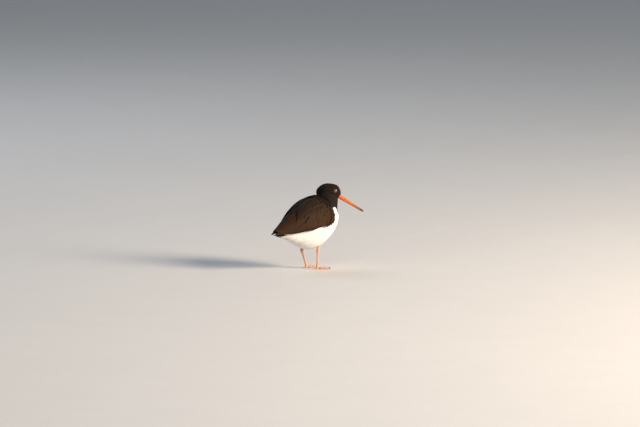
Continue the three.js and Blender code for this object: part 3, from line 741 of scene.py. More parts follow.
# Body coat
BED_X, BED_ANGLE, BED_LIFT = (12, 27), (58, 84), 2.0
# Heights, and a run along X, over which the lie of one region's feathers gives way to the next one's.
HEAD_LIE_Z, NECK_LIE_Z, NECK_LIE_X = (186, 206), (150, 178), (0, 30)
# What the wings cover: its run along X, its share of the wings' section, and how far over their edge.
COVERED_X, COVERED_SHARE, COVERED_OVER_EDGE = (-150, 19), 0.94, 9
# Distances from bill and eyes, and heights, over which the feathers grow from the face's to the body's.
FACE_FROM_BILL, FACE_FROM_EYES, NAPE_FROM_BILL, NECK_Z = (4, 34), (5, 20), (12, 60), (160, 212)
ROOT_TRIES = 5
BILL_CLEAR, LID_CLEAR = 5, 1.6
HEAD_SHARE, BREAST_START = 0.42, -5


def lie(p):
    """Which way the feathers lie: back from the bill, down the neck, and back along the body."""
    from_head = p - HEAD_CENTRE
    s = from_head @ head_axis
    at_head = smoothstep(p[:, 2], *HEAD_LIE_Z)[:, None]
    at_neck = (smoothstep(p[:, 2], *NECK_LIE_Z) * smoothstep(p[:, 0], *NECK_LIE_X))[:, None]
    crown = -head_axis + UP * -0.25 * smoothstep(-s, 5, 30)[:, None]
    neck = np.tile((-0.45, 0.0, -1.0), (len(p), 1))
    body = np.stack([-np.ones(len(p)), 0 * p[:, 1], -0.35 * smoothstep(p[:, 0], -20, 60) + 0.05], -1)
    body[:, 1] -= 0.12 * np.sign(p[:, 1]) * smoothstep(-p[:, 0], 40, 120)
    flow = body * (1 - at_neck) + neck * at_neck
    return unit(flow * (1 - at_head) + crown * at_head)


def covered(p):
    """Places that the folded wings hide."""
    x, y, z = p.T
    tall = wing_top(x) - wing_height(x)
    reach = (y / wing_half_width(x)) ** 2 + ((z - wing_height(x)) / tall) ** 2
    low, high = COVERED_X
    return (x < high) & (x > low) & (reach < COVERED_SHARE) & (z > wing_edge(x) + COVERED_OVER_EDGE)


def to_eyes(p):
    """How far the nearer eye is."""
    return np.minimum(*(np.linalg.norm(p - eye_centre(side), axis=1) for side in (1, -1)))


def feather_scale(p):
    """0 on the face, rising through crown and neck to 1 on the body."""
    to_bill = np.linalg.norm(p - bill_root, axis=1)
    lids = 0.12 + 0.88 * smoothstep(to_eyes(p), *FACE_FROM_EYES)
    face = np.minimum(smoothstep(to_bill, *FACE_FROM_BILL), lids)
    body = np.minimum(1 - smoothstep(p[:, 2], *NECK_Z), smoothstep(to_bill, *NAPE_FROM_BILL))
    return np.clip(0.25 * face + 0.75 * body, 0, 1)


def scattered(skin, spacing_at, keep, rng):
    """Evenly spread roots on the skin and their outward directions: no two are closer than the spacing."""
    mesh = skin.data
    mesh.calc_loop_triangles()
    corners = np.zeros(len(mesh.loop_triangles) * 3, int)
    mesh.loop_triangles.foreach_get("vertices", corners)
    spots, normals = mesh_arrays(skin)
    tri = corners.reshape(-1, 3)
    a, b, c = (spots[tri[:, k]] for k in range(3))
    area = np.linalg.norm(np.cross(b - a, c - a), axis=1) / 2
    wanted = area / spacing_at((a + b + c) / 3) ** 2 * ROOT_TRIES
    pick = rng.choice(len(tri), int(wanted.sum()), p=wanted / wanted.sum())
    r1, r2 = np.sqrt(rng.random(len(pick))), rng.random(len(pick))
    share = np.stack([1 - r1, r1 * (1 - r2), r1 * r2], -1)
    p, n = (np.einsum("nk,nkj->nj", share, part[tri[pick]]) for part in (spots, normals))
    use = keep(p)
    p, n = p[use], unit(n[use])
    gap = spacing_at(p)
    cells = np.floor(p / gap.max()).astype(int).tolist()
    around = list(itertools.product((-1, 0, 1), repeat=3))
    grid, chosen = {}, []
    for i, ((kx, ky, kz), (x, y, z), limit) in enumerate(zip(cells, p.tolist(), (gap**2).tolist())):
        crowded = any(
            (ox - x) ** 2 + (oy - y) ** 2 + (oz - z) ** 2 < limit
            for dx, dy, dz in around
            for ox, oy, oz in grid.get((kx + dx, ky + dy, kz + dz), ())
        )
        if not crowded:
            grid.setdefault((kx, ky, kz), []).append((x, y, z))
            chosen.append(i)
    return p[chosen], n[chosen]


def feather_bed(skin):
    """What the body feathers lie on: the skin, and the front of each wing, whose edge they overlap."""
    spots = [vertex.co[:] for vertex in skin.data.vertices]
    faces = [tuple(polygon.vertices) for polygon in skin.data.polygons]
    x, angle = np.meshgrid(np.linspace(*BED_X, 12), np.linspace(*BED_ANGLE, 24), indexing="ij")
    grid = np.arange(x.size).reshape(x.shape)
    for _, side in SIDES:
        faces.extend(map(tuple, (quads(grid) + len(spots)).tolist()))
        shell = to_model(on_wing(side, x, angle, BED_LIFT - wing_dive(x))).reshape(-1, 3)
        spots.extend(map(tuple, shell))
    return BVHTree.FromPolygons(spots, faces)


def bowed(root, middle, tip, rows):
    """Rows of places on each curve from root through middle to tip."""
    v = np.linspace(0, 1, rows)[None, :, None]
    weights = (2 * (v - 0.5) * (v - 1), -4 * v * (v - 1), 2 * v * (v - 0.5))
    return sum(w * key[:, None] for w, key in zip(weights, (root, middle, tip)))


def laid_paths(tree, roots, normals, ahead, long, rows, sink, lift, tip_lift):
    """Each feather's midline and outward ways: from under the skin, over it, and down to follow its curve."""
    def surface(points):
        found = [tree.find_nearest(Vector(point)) for point in to_model(points)]
        hit, way = to_bird([spot[0] for spot in found]), np.array([spot[1] for spot in found])
        return hit, way * np.where((way * normals).sum(-1, keepdims=True) < 0, -1, 1)

    ahead = square_to(ahead, normals)
    middle, n1 = surface(roots + ahead * (long / 2)[:, None])
    end, n2 = surface(middle + square_to(ahead, n1) * (long / 2)[:, None])
    spots = roots - normals * sink[:, None], middle + n1 * lift[:, None], end + n2 * tip_lift[:, None]
    path = bowed(*spots, rows)
    v = np.linspace(0, 1, rows)[None, :, None]
    out = unit(sum(w * n[:, None] for w, n in zip((1 - v, 0.0 * v + 0.5, v), (normals, n1, n2))))
    return path, out


class BIRD_OT_coat(bpy.types.Operator):
    """Body feathers over the skin, small and close on the face, long and loose on the belly"""

    bl_idname = "bird.coat"
    bl_label = "Body coat"

    def execute(self, context):
        look = context.scene.bird_plumage
        rng = np.random.default_rng(look.seed)
        skin = bpy.data.objects["skin"]
        tree = feather_bed(skin)
        material = plumage_material("body feathers", 11.0, 0.75, 0.015, 0.09)
        spacing = look.head_spacing / MM * 0.8, look.body_spacing / MM
        spacing_at = lambda p: between(spacing, feather_scale(p))

        def keep(p):
            from_bill = p - bill_root
            on_bill = from_bill @ bill_axis
            in_bill = np.linalg.norm(from_bill - np.multiply.outer(on_bill, bill_axis), axis=1) < BILL_CLEAR
            in_bill &= on_bill > -BILL_SUNK
            return ~(in_bill | (to_eyes(p) < LID_RING + LID_CLEAR) | covered(p))

        roots, normals = scattered(skin, spacing_at, keep, rng)
        scale = feather_scale(roots)
        head, front = scale < HEAD_SHARE, roots[:, 0] >= BREAST_START
        for name, vane, use in (
            ("head_feathers", HEAD_VANE, head),
            ("breast_feathers", BODY_VANE, ~head & front),
            ("belly_feathers", BODY_VANE, ~head & ~front),
        ):
            self.lay(name, vane, roots[use], normals[use], scale[use], look, tree, material, rng)
        return {"FINISHED"}

    def lay(self, name, vane, roots, normals, scale, look, tree, material, rng):
        count, rows = len(roots), len(vane.rows)
        ahead = lie(roots) + rng.normal(0, 0.07, (count, 3))
        vent = smoothstep(-roots[:, 0], 60, 120)
        long = between((look.head_feather * 0.6 / MM, look.body_feather / MM), scale)
        long = long * rng.uniform(0.85, 1.15, count) * (1 + 0.25 * vent)
        wide = long * (0.34 + 0.22 * scale) * rng.uniform(0.9, 1.1, count)
        fluff = rng.uniform(0.8, 1.2, count)
        lift, tip_lift = (0.12 + 0.3 * scale) * fluff, (0.06 + 0.06 * scale) * fluff
        path, out = laid_paths(tree, roots, normals, ahead, long, rows, 0.3 + 0.9 * scale, lift, tip_lift)
        points = vane.make(path, out, wide, rng, **BODY_SHAPE)
        white = np.round(whiteness(path[:, rows // 2], rng.normal(0, 0.5, count)))[:, None]
        dark, pale = np.array(look.black), np.array(look.white)
        tip = blend(dark * 1.1, pale, white)
        tint = tinted(vane, count, blend(dark, pale * 0.82, white), tip, tip, rng, spread=0.1)
        feather_piece(name, vane, points, material, "body_plumage", tint, patches(vane, roots))


# Wings
VANE_SUNK = -6
LONG_ROWS = ("primaries", "secondaries", "tertials")
# Each row of a wing, from underneath to on top: name, count, roots and tips as (along X, degrees down),
# widths, how far the tips stand out, how brown, how wide the pale fringe, and how far the row bows forward.
# Less brown up the scapulars to the mantle: partly the bird's own colour, partly painted shade on the back.
WING_ROWS = [
    ("primaries", 10, (-82, 80), (-74, 50), (-168, 74), (-150, 40), (10, 13), -0.8, 0.45, 0.4, 0),
    ("secondaries", 9, (-12, 82), (-62, 78), (-76, 92), (-136, 79), (15, 14), 0.2, 0.2, 0.35, 0),
    ("greater_coverts", 12, (8, 78), (-60, 71), (-30, 91), (-102, 82), (14, 15), 0.6, 0.8, 0.5, 0),
    ("tertials", 12, (-48, 70), (-36, 8), (-150, 76), (-163, 24), (17, 17), 0.8, 0.6, 0.45, 0),
    ("median_coverts", 11, (12, 70), (-50, 61), (-16, 82), (-84, 75), (15, 15), 1.0, 0.7, 0.45, 0),
    ("upper_coverts", 10, (15, 59), (-42, 49), (-12, 70), (-72, 64), (15, 16), 1.2, 0.6, 0.4, 0),
    ("shoulder_coverts", 12, (-6, 92), (2, 44), (-23, 92), (-17, 51), (13, 13), 1.2, 0.65, 0.4, 14),
    ("bend_coverts", 14, (3, 92), (9, 42), (-13, 93), (-8, 49), (12, 12), 1.1, 0.65, 0.4, 15),
    ("marginal_coverts", 17, (11, 92), (16, 42), (-4, 93), (0, 49), (10, 10), 1.0, 0.65, 0.4, 14),
    ("lower_scapulars", 9, (12, 49), (-50, 37), (-20, 58), (-104, 52), (17, 18), 1.7, 0.34, 0.28, 0),
    ("rump", 10, (-30, 8), (-108, 5), (-80, 12), (-161, 14), (15, 12), 1.0, 0.15, 0.2, 0),
    ("middle_scapulars", 9, (14, 36), (-44, 24), (-17, 44), (-98, 38), (17, 18), 1.9, 0.16, 0.16, 0),
    ("upper_scapulars", 9, (15, 24), (-38, 13), (-14, 30), (-90, 24), (16, 17), 1.8, 0.07, 0.1, 0),
    ("mantle", 9, (15, 12), (-34, 5), (-12, 16), (-82, 11), (15, 14), 1.6, 0.03, 0.08, 0),
    ("cape", 9, (16, 3), (31, 50), (-12, 5), (6, 56), (15, 13), 1.8, 0.06, 0.15, 0),
]
# Ahead of here the rows dive under the breast's feathers.
WING_DIVE_X, WING_DIVE_LENGTH, WING_DIVE_DEPTH = 14, 12, 9


# The ruff: rings of feathers from the neck's back and sides down over the front edge of the cape.
RUFF_RINGS, RUFF_COUNT, RUFF_STEP, RUFF_TIP_STEP = 5, 13, 5, 6
RUFF_NECK_X, RUFF_NECK_LONG, RUFF_NECK_WIDE, RUFF_TOP = 47, 29, 23, 200
RUFF_TURN, RUFF_FALL, RUFF_WIDTHS = (4, 80), 12, (12, 14)
RUFF_TIP_X, RUFF_TIP_ANGLE, RUFF_LIFT, RUFF_RISE = (6, 22), (4, 50), 2.2, 0.35
# How far the wing's core lies under its feathers, and how far down the flank it reaches, in degrees.
CORE_SUNK, CORE_ANGLES, CORE_OFF_RIDGE = 2.6, (0.5, 93), 0.2


def outward_on_wing(side, x, angle):
    return unit(on_wing(side, x, angle, 1.0) - on_wing(side, x, angle, 0.0))


def ruff_paths(side, ring, rows, rng):
    """Midlines and outward ways of one ring of the ruff, from under the neck's skin to over the cape."""
    t = np.clip(np.linspace(0, 1, RUFF_COUNT) + rng.normal(0, 0.012, RUFF_COUNT), 0, 1)
    turn = np.radians(between(RUFF_TURN, t))
    root = np.stack([
        RUFF_NECK_X - RUFF_NECK_LONG * np.cos(turn),
        side * RUFF_NECK_WIDE * np.sin(turn),
        RUFF_TOP - RUFF_STEP * ring - RUFF_FALL * t,
    ], -1)
    x = between(RUFF_TIP_X, t) - RUFF_TIP_STEP * ring + rng.normal(0, 1.2, RUFF_COUNT)
    angle = between(RUFF_TIP_ANGLE, t)
    lift = RUFF_LIFT + RUFF_RISE * (RUFF_RINGS - 1 - ring) - wing_dive(x)
    tip = on_wing(side, x, angle, lift)
    middle = on_wing(side, (x + root[:, 0]) / 2, angle, lift) * 0.5 + (root + tip) * 0.25
    path = bowed(root, middle, tip, rows)
    return path, np.broadcast_to(outward_on_wing(side, x, angle)[:, None], path.shape)


def wing_dive(x):
    return WING_DIVE_DEPTH * np.maximum((x - WING_DIVE_X) / WING_DIVE_LENGTH, 0) ** 2


def wing_core(side):
    """The wing under its feathers: half of the shared surface, sunk by a few millimetres."""
    x = between((WING_BEND_X, WING_CORE_END_X), along(40))
    keep = both_rounded(WING_BEND_X - x, x - WING_CORE_END_X, (WING_BEND_ROUND, WING_CORE_END_ROUND))
    angle = np.radians(np.linspace(*CORE_ANGLES, 30))
    wide, high = wing_half_width(x) - CORE_SUNK, wing_top(x) - wing_height(x) - CORE_SUNK
    outer = np.stack([
        x[:, None] + 0 * angle,
        side * (wide * keep)[:, None] * np.sin(angle) + side * CORE_OFF_RIDGE,
        wing_height(x)[:, None] + (high * keep)[:, None] * np.cos(angle),
    ], -1)
    centre = np.stack([x, 0 * x + side * CORE_OFF_RIDGE, wing_height(x)], -1)[:, None]
    inner = centre + (outer - centre) * np.where(keep[:, None, None] > 0.3, 0.9, 0.6)
    ring = np.concatenate([outer, inner[:, ::-1]], 1)
    return ring.reshape(-1, 3), tube_faces(*ring.shape[:2])


class BIRD_OT_wings(bpy.types.Operator):
    """Folded wings in tiers: primaries, secondaries, tertials, coverts and scapulars"""

    bl_idname = "bird.wings"
    bl_label = "Wings"

    def execute(self, context):
        look = context.scene.bird_plumage
        rng = np.random.default_rng(look.seed + 1)
        vanes = plumage_material("wing feathers", 26.0, 0.66, 0.01)
        down = plumage_material("wing down", 8.0, 0.75, 0.04)
        for name, side in SIDES:
            points, faces = wing_core(side)
            tint = np.tile(np.array(look.black), (len(points), 1))
            new_piece(
                f"wing_{name}_base", points, faces, down, "wing_feathers", (f"wing_{name}",),
                {"Plumage": tint}, {"Vane": np.zeros((len(points), 2))},
            )
            for row in WING_ROWS:
                self.row(name, side, row, look, vanes, rng)
            self.ruff(name, side, look, vanes, rng)
        return {"FINISHED"}

    def ruff(self, name, side, look, material, rng):
        rings = [ruff_paths(side, ring, len(WING_VANE.rows), rng) for ring in reversed(range(RUFF_RINGS))]
        path, out = (np.concatenate(part) for part in zip(*rings))
        width = rng.uniform(*RUFF_WIDTHS, len(path))
        points = WING_VANE.make(path, out, width, rng, **RUFF_SHAPE)
        black, brown = np.array(look.black), np.array(look.brown)
        tint = tinted(WING_VANE, len(path), black, black * 1.3, brown * 0.5, rng, edge_share=0.3)
        feather_piece(f"wing_{name}_ruff", WING_VANE, points, material, "wing_feathers", tint)

    def row(self, name, side, row, look, material, rng):
        title, count, root_a, root_b, tip_a, tip_b, widths, rise, brownness_with_top_shade, fringe, bow = row
        t = np.linspace(0, 1, count)[:, None]
        shift = rng.normal(0, 1, (count, 2)) * (0.8, 0.5) + np.sqrt(np.abs(np.sin(math.pi * t))) * (bow, 0)
        root, tip = blend(root_a, root_b, t) + shift, blend(tip_a, tip_b, t) + shift
        v = WING_VANE.rows[None, :]
        x, angle = (root[:, k, None] + (tip - root)[:, k, None] * v for k in (0, 1))
        uneven = 0.12 * rng.normal(0, 1, (count, 1))
        lift = between((VANE_SUNK, rise), 1 - (1 - v) ** 2) + uneven - wing_dive(x)
        path, out = on_wing(side, x, angle, lift), outward_on_wing(side, x, angle)
        down = unit(np.cross(unit(np.gradient(path, axis=1)), out)) * -side
        out = unit(out - down * 0.12)
        outline = FLIGHT_OUTLINE if title in LONG_ROWS else COVERT_OUTLINE
        width = blend(*widths, t)[:, 0]
        points = WING_VANE.make(path, out, width, rng, outline, **WING_SHAPE)
        # Less brown on the upper rows: partly the feathers' own colour, partly painted shade on the back.
        base = blend(look.flight, look.brown, brownness_with_top_shade)
        tint = tinted(WING_VANE, count, base, base * 1.15, np.array(look.fringe), rng, edge_share=fringe)
        feather_piece(f"wing_{name}_{title}", WING_VANE, points, material, "wing_feathers", tint)


# Tail
TAIL_FEATHERS = 12
TAIL_ROOT_X, TAIL_TIP_X, TAIL_TIP_ROUND = -90, -162, 5
TAIL_ROOT_HEIGHT, TAIL_TIP_HEIGHT, TAIL_ROOT_SPREAD, TAIL_HALF_SPREAD, TAIL_FEATHER_WIDTH = 112, 107, 9, 8, 11
TAIL_ROOT_FALL, TAIL_TIP_FALL, TAIL_COVERT_FALL = 1.2, 2.6, 3
# Coverts round the tail's root: rows of count, root x, tip x, height at the tip and half spread.
UNDERTAIL_ROWS = [(7, -108, -140, 97.5, 8), (7, -114, -147, 99.5, 7), (6, -120, -153, 101.5, 6)]
OVERTAIL_ROWS = [(7, -110, -161, 110, 6.5), (6, -108, -158, 112.5, 5.5), (5, -106, -155, 115, 4)]
UNDERTAIL_ROOT_HEIGHT, OVERTAIL_ROOT_HEIGHT, TAIL_COVERT_WIDTH = 101, 121, 10
TAIL_WHITE_END = 0.42


class BIRD_OT_tail(bpy.types.Operator):
    """Twelve tail feathers in a closed fan, white at the root and black beyond"""

    bl_idname = "bird.tail"
    bl_label = "Tail"

    def execute(self, context):
        look = context.scene.bird_plumage
        rng = np.random.default_rng(look.seed + 2)
        spread = np.linspace(-1, 1, TAIL_FEATHERS)
        away, level_x = np.abs(spread), 0 * spread
        root_z, tip_z = TAIL_ROOT_HEIGHT - TAIL_ROOT_FALL * away, TAIL_TIP_HEIGHT - TAIL_TIP_FALL * away
        root = np.stack([level_x + TAIL_ROOT_X, TAIL_ROOT_SPREAD * spread, root_z], -1)
        tip = np.stack([TAIL_TIP_X + TAIL_TIP_ROUND * away**2, TAIL_HALF_SPREAD * spread, tip_z], -1)
        path = blend(root[:, None], tip[:, None], WING_VANE.rows[None, :, None])
        tilt = np.stack([level_x, 0.25 * spread + 0.1 * np.sign(spread), level_x + 1], -1)
        out = np.broadcast_to(unit(tilt)[:, None], path.shape)
        width = np.full(TAIL_FEATHERS, float(TAIL_FEATHER_WIDTH))
        points = WING_VANE.make(path, out, width, rng, **TAIL_SHAPE)
        self.coverts("undertail_coverts", UNDERTAIL_ROWS, UNDERTAIL_ROOT_HEIGHT, -1, look.white, rng)
        self.coverts("overtail_coverts", OVERTAIL_ROWS, OVERTAIL_ROOT_HEIGHT, 1, look.flight, rng)
        share = smoothstep(WING_VANE.v, TAIL_WHITE_END - 0.02, TAIL_WHITE_END + 0.02)[:, None]
        tint = np.tile(blend(look.white, look.flight, share), (TAIL_FEATHERS, 1))
        vanes = plumage_material("tail feathers", 26.0, 0.6, 0.04)
        feather_piece("tail_feathers", WING_VANE, points, vanes, "tail_feathers", tint, replaces=("tail",))
        return {"FINISHED"}

    def coverts(self, name, rows, root_height, way, tone, rng):
        """Rows of coverts over (way 1) or under (way -1) the tail's root."""
        roots, tips, outs = [], [], []
        for count, root_x, tip_x, tip_height, half_spread in rows:
            spread = np.linspace(-1, 1, count)
            roots.append(np.stack([0 * spread + root_x, half_spread * spread, 0 * spread + root_height], -1))
            tips.append(np.stack([
                tip_x + TAIL_TIP_ROUND * spread**2 + rng.normal(0, 0.8, count),
                half_spread * spread * 0.85,
                tip_height - way * TAIL_COVERT_FALL * spread**2,
            ], -1))
            outs.append(np.stack([0 * spread - 0.15, 0.7 * spread, 0 * spread + way], -1))
        root, tip, out = (np.concatenate(part)[:, None] for part in (roots, tips, outs))
        v = WING_VANE.rows[None, :, None]
        path = blend(root, tip, v) + unit(out) * (4 * v * (1 - v))
        count = len(path)
        width = rng.uniform(0.9, 1.1, count) * TAIL_COVERT_WIDTH
        out = np.broadcast_to(unit(out), path.shape)
        points = WING_VANE.make(path, out, width, rng, **TAIL_COVERT_SHAPE)
        tone = np.array(tone)
        tint = tinted(WING_VANE, count, tone * 0.9, tone, tone, rng, spread=0.06)
        material = plumage_material(name.replace("_", " "), 12.0, 0.72, 0.015, 0.08)
        feather_piece(name, WING_VANE, points, material, "body_plumage", tint)


# Bill
MOUTH_GAP, MOUTH_LOW = 0.3, 0.8
NOSTRIL_AT, NOSTRIL_LONG, NOSTRIL_HIGH, NOSTRIL_WIDE, NOSTRIL_SLOPE = 13, 11, 1.6, 0.75, 0.02
GROOVE_AT, GROOVE_HALF, GROOVE_BROAD = 16, 13, 1.7
# Places along the run of colour: the tip, and past it the painted shade inside the nostril slits.
TIP_PLACE, NOSTRIL_SHADE_PLACE = 0.93, 1.0


class BIRD_OT_bill(bpy.types.Operator):
    """Upper and lower bill with the line of the mouth, the nostril slits and the groove ahead of them"""

    bl_idname = "bird.bill"
    bl_label = "Bill"

    def execute(self, context):
        look = context.scene.bird_soft_parts
        # The last stop is painted shade: the nostril slits far darker than the tip.
        tip = tuple(look.bill_tip)
        stops = [
            (0.0, tuple(look.bill_root)), (0.5, tuple(look.bill_middle)),
            (0.72, tuple(blend(look.bill_middle, look.bill_tip, 0.4))), (0.88, tip),
            (0.94, tip), (NOSTRIL_SHADE_PLACE, tuple(0.15 * c for c in tip)),
        ]
        material = horn_material("bill horn", stops, 0.36, 300.0, 0.35)
        for name, way in (("bill_upper", 1), ("bill_lower", -1)):
            points, faces, place = self.half(way)
            new_piece(f"{name}_horn", points, faces, material, "bill", (name,), {"Along": place})
        return {"FINISHED"}

    def half(self, way):
        """Half of the bill above or below the mouth line, with a flat face along it."""
        rings, arc, flat = 90, 29, 9
        s = -BILL_SUNK + (BILL_LENGTH + BILL_SUNK) * (1 - (1 - np.linspace(0, 1, rings)) ** 1.3)
        t = (s + BILL_SUNK) / (BILL_LENGTH + BILL_SUNK)
        keep = np.maximum(rounded(BILL_LENGTH - s, 4.0), 0.25)
        wide = bill_half_width(t) * np.maximum(keep, 0.4)
        mouth = -MOUTH_LOW * (1 - t) + way * MOUTH_GAP / 2
        reach = np.abs(way * bill_half_depth(t) * keep - mouth)
        turn = np.linspace(0, math.pi, arc)
        squared = np.sign(np.cos(turn)) * np.abs(np.cos(turn)) ** 0.85
        back = np.linspace(-1, 1, flat + 2)[1:-1]
        side = wide[:, None] * np.concatenate([squared, back])
        up = mouth[:, None] + way * reach[:, None] * np.concatenate([np.sin(turn) ** 0.9, 0 * back])
        on_bill = np.repeat(s[:, None], side.shape[1], 1)
        place = np.clip(on_bill / BILL_LENGTH, 0, TIP_PLACE).ravel()
        if way > 0:
            across = (up - NOSTRIL_HIGH + NOSTRIL_SLOPE * (on_bill - NOSTRIL_AT)) / NOSTRIL_WIDE
            slit = np.exp(-(((on_bill - NOSTRIL_AT) / (NOSTRIL_LONG / 2)) ** 4) - across**2)
            groove = np.exp(-(((on_bill - GROOVE_AT) / GROOVE_HALF) ** 4) - (across / GROOVE_BROAD) ** 2)
            side -= np.sign(side) * np.minimum(0.95 * slit + 0.35 * groove, np.abs(side) * 0.6)
            # Points in the nostril slits take the painted shade at the end of the run.
            place = np.where(slit.ravel() > 0.6, NOSTRIL_SHADE_PLACE, place)
        points = bill_root
        for far, axis in ((on_bill, bill_axis), (side, head_side), (up, bill_up)):
            points = points + far[..., None] * axis
        return points.reshape(-1, 3), tube_faces(*side.shape), place


# Eyes
EYE_SIDES, EYE_SHOWS = 40, 4.6


class BIRD_OT_eyes(bpy.types.Operator):
    """Eyes with a round pupil, and the bare ring of lids round each"""

    bl_idname = "bird.eyes"
    bl_label = "Eyes"

    def execute(self, context):
        look = context.scene.bird_soft_parts
        iris, black = tuple(look.iris), (0.002,) * 3
        shader = {"Coat Weight": 1.0, "Coat Roughness": 0.03, "Roughness": 0.12}
        material, tree, principled = new_material("eye", shader)
        stops = [(0.0, black), (0.34, black), (0.4, iris), (0.66, iris), (0.8, tuple(0.3 * c for c in iris))]
        feed(tree, principled, {"Base Color": mottle(tree, ramp(tree, stops), 1500.0, 0.3)["Colour"]})
        lids = tuple(look.lids)
        lid = horn_material("eyelid skin", [(0.0, lids), (1.0, lids)], 0.5, 700.0, 0.4)
        turn = np.linspace(0, math.pi, EYE_SIDES)
        size = np.maximum(EYE_RADIUS * np.sin(turn), 0.02)
        place = np.repeat(np.where(np.cos(turn) > 0, np.clip(size / EYE_SHOWS, 0, 1), 1), EYE_SIDES)
        for name, side in SIDES:
            centre = eye_centre(side)
            out = unit(head_side * side + head_axis * 0.12)
            across = unit(np.cross(out, head_up))
            up = np.cross(across, out)
            centres = centre + EYE_RADIUS * np.cos(turn)[:, None] * out
            points, faces = tube(centres, across, up, size, size, EYE_SIDES)
            new_piece(f"eyeball_{name}", points, faces, material, "eye", (f"eye_{name}",), {"Along": place})
            points, faces = self.ring(centre, out, across, up)
            on_lid = np.zeros(len(points))
            new_piece(f"eyelids_{name}", points, faces, lid, "body_plumage", colours={"Along": on_lid})
        return {"FINISHED"}

    def ring(self, centre, out, across, up):
        """The lids' ring, thinner where the two lids meet before and behind the eye."""
        major, minor = 48, 12
        turn = np.linspace(0, FULL_TURN, major, endpoint=False)[:, None]
        small = np.linspace(0, FULL_TURN, minor, endpoint=False)[None]
        thick = LID_THICK * (0.8 + 0.3 * np.abs(np.sin(turn)))
        radius = LID_RING + thick * np.cos(small) * (1 + 0.06 * np.sin(turn * 12))
        lift = math.sqrt(EYE_RADIUS**2 - LID_RING**2) + thick * np.sin(small) * 0.8
        points = centre
        for far, way in ((radius * np.cos(turn), across), (radius * np.sin(turn), up), (lift, out)):
            points = points + far[..., None] * way
        return points.reshape(-1, 3), wrapped_quads(major, minor, closed=True)


# Legs
LEG_WIDE = through([(0, 3), (0.3, 3.2), (0.43, 4.1), (0.55, 2.6), (0.88, 2.5), (1, 3.4)])
LEG_DEEP = through([(0, 3.2), (0.3, 3.5), (0.43, 4.7), (0.55, 3.1), (0.88, 2.8), (1, 3.4)])
TOE_PAD, TOE_JOINTS = 2.1, 3.0
HEEL_PAD, HEEL_SUNK = (4.8, 4.2, 3.0), 0.9
WEB_START, WEB_END, WEB_HALF_THICK = 2, 12.5, 0.75
SCUTES_ROUND, SHANK_SCUTES, TOE_SCUTES, TOE_SCUTE_STEP = 11, (0.26, 0.97), (0.16, 0.95), 1.9
ON_FLOOR = (1, 1, 0)


def leg_path(name):
    knee, ankle, foot = KNEE[name], ANKLE[name], FOOT[name]
    return path_through([knee, ankle * 0.7 + knee * 0.3, ankle, (foot + ankle) / 2, foot])


def toe_path(name, turn, long):
    spots = ((0, 6), (5, 4.2), (long * 0.45, TOE_PAD), (long, TOE_PAD))
    return path_through([FOOT[name] * ON_FLOOR + level(turn) * far + UP * height for far, height in spots])


def toe_turn(name, side, turn):
    return math.radians(turn * side + FOOT_TURN[name])


def knuckles(t):
    return 1 + 0.10 * np.cos(t * FULL_TURN * TOE_JOINTS)


def toe_wide(t, thick):
    return through([(0, 3.2), (0.4, thick), (0.75, thick * 0.95), (1, thick * 0.8)])(t) * knuckles(t)


def toe_deep(t, thick):
    return through([(0, 3), (0.4, thick * 0.95), (1, thick * 0.85)])(t) * knuckles(t)


def swept(path, across, wide, deep, rings, sides, end_round):
    """Points and faces of a closed form along a path, and each point's share of the way."""
    t = along(rings)
    ahead = heading(path, t)
    side = square_to(across, ahead)
    span = np.linalg.norm(np.diff(path(np.linspace(0, 1, 60)), axis=0), axis=1).sum()
    keep = both_rounded(t * span, (1 - t) * span, (end_round, end_round), 0.05)
    points, faces = tube(path(t), side, np.cross(ahead, side), wide(t) * keep, deep(t) * keep, sides)
    return points, faces, np.repeat(t, sides)


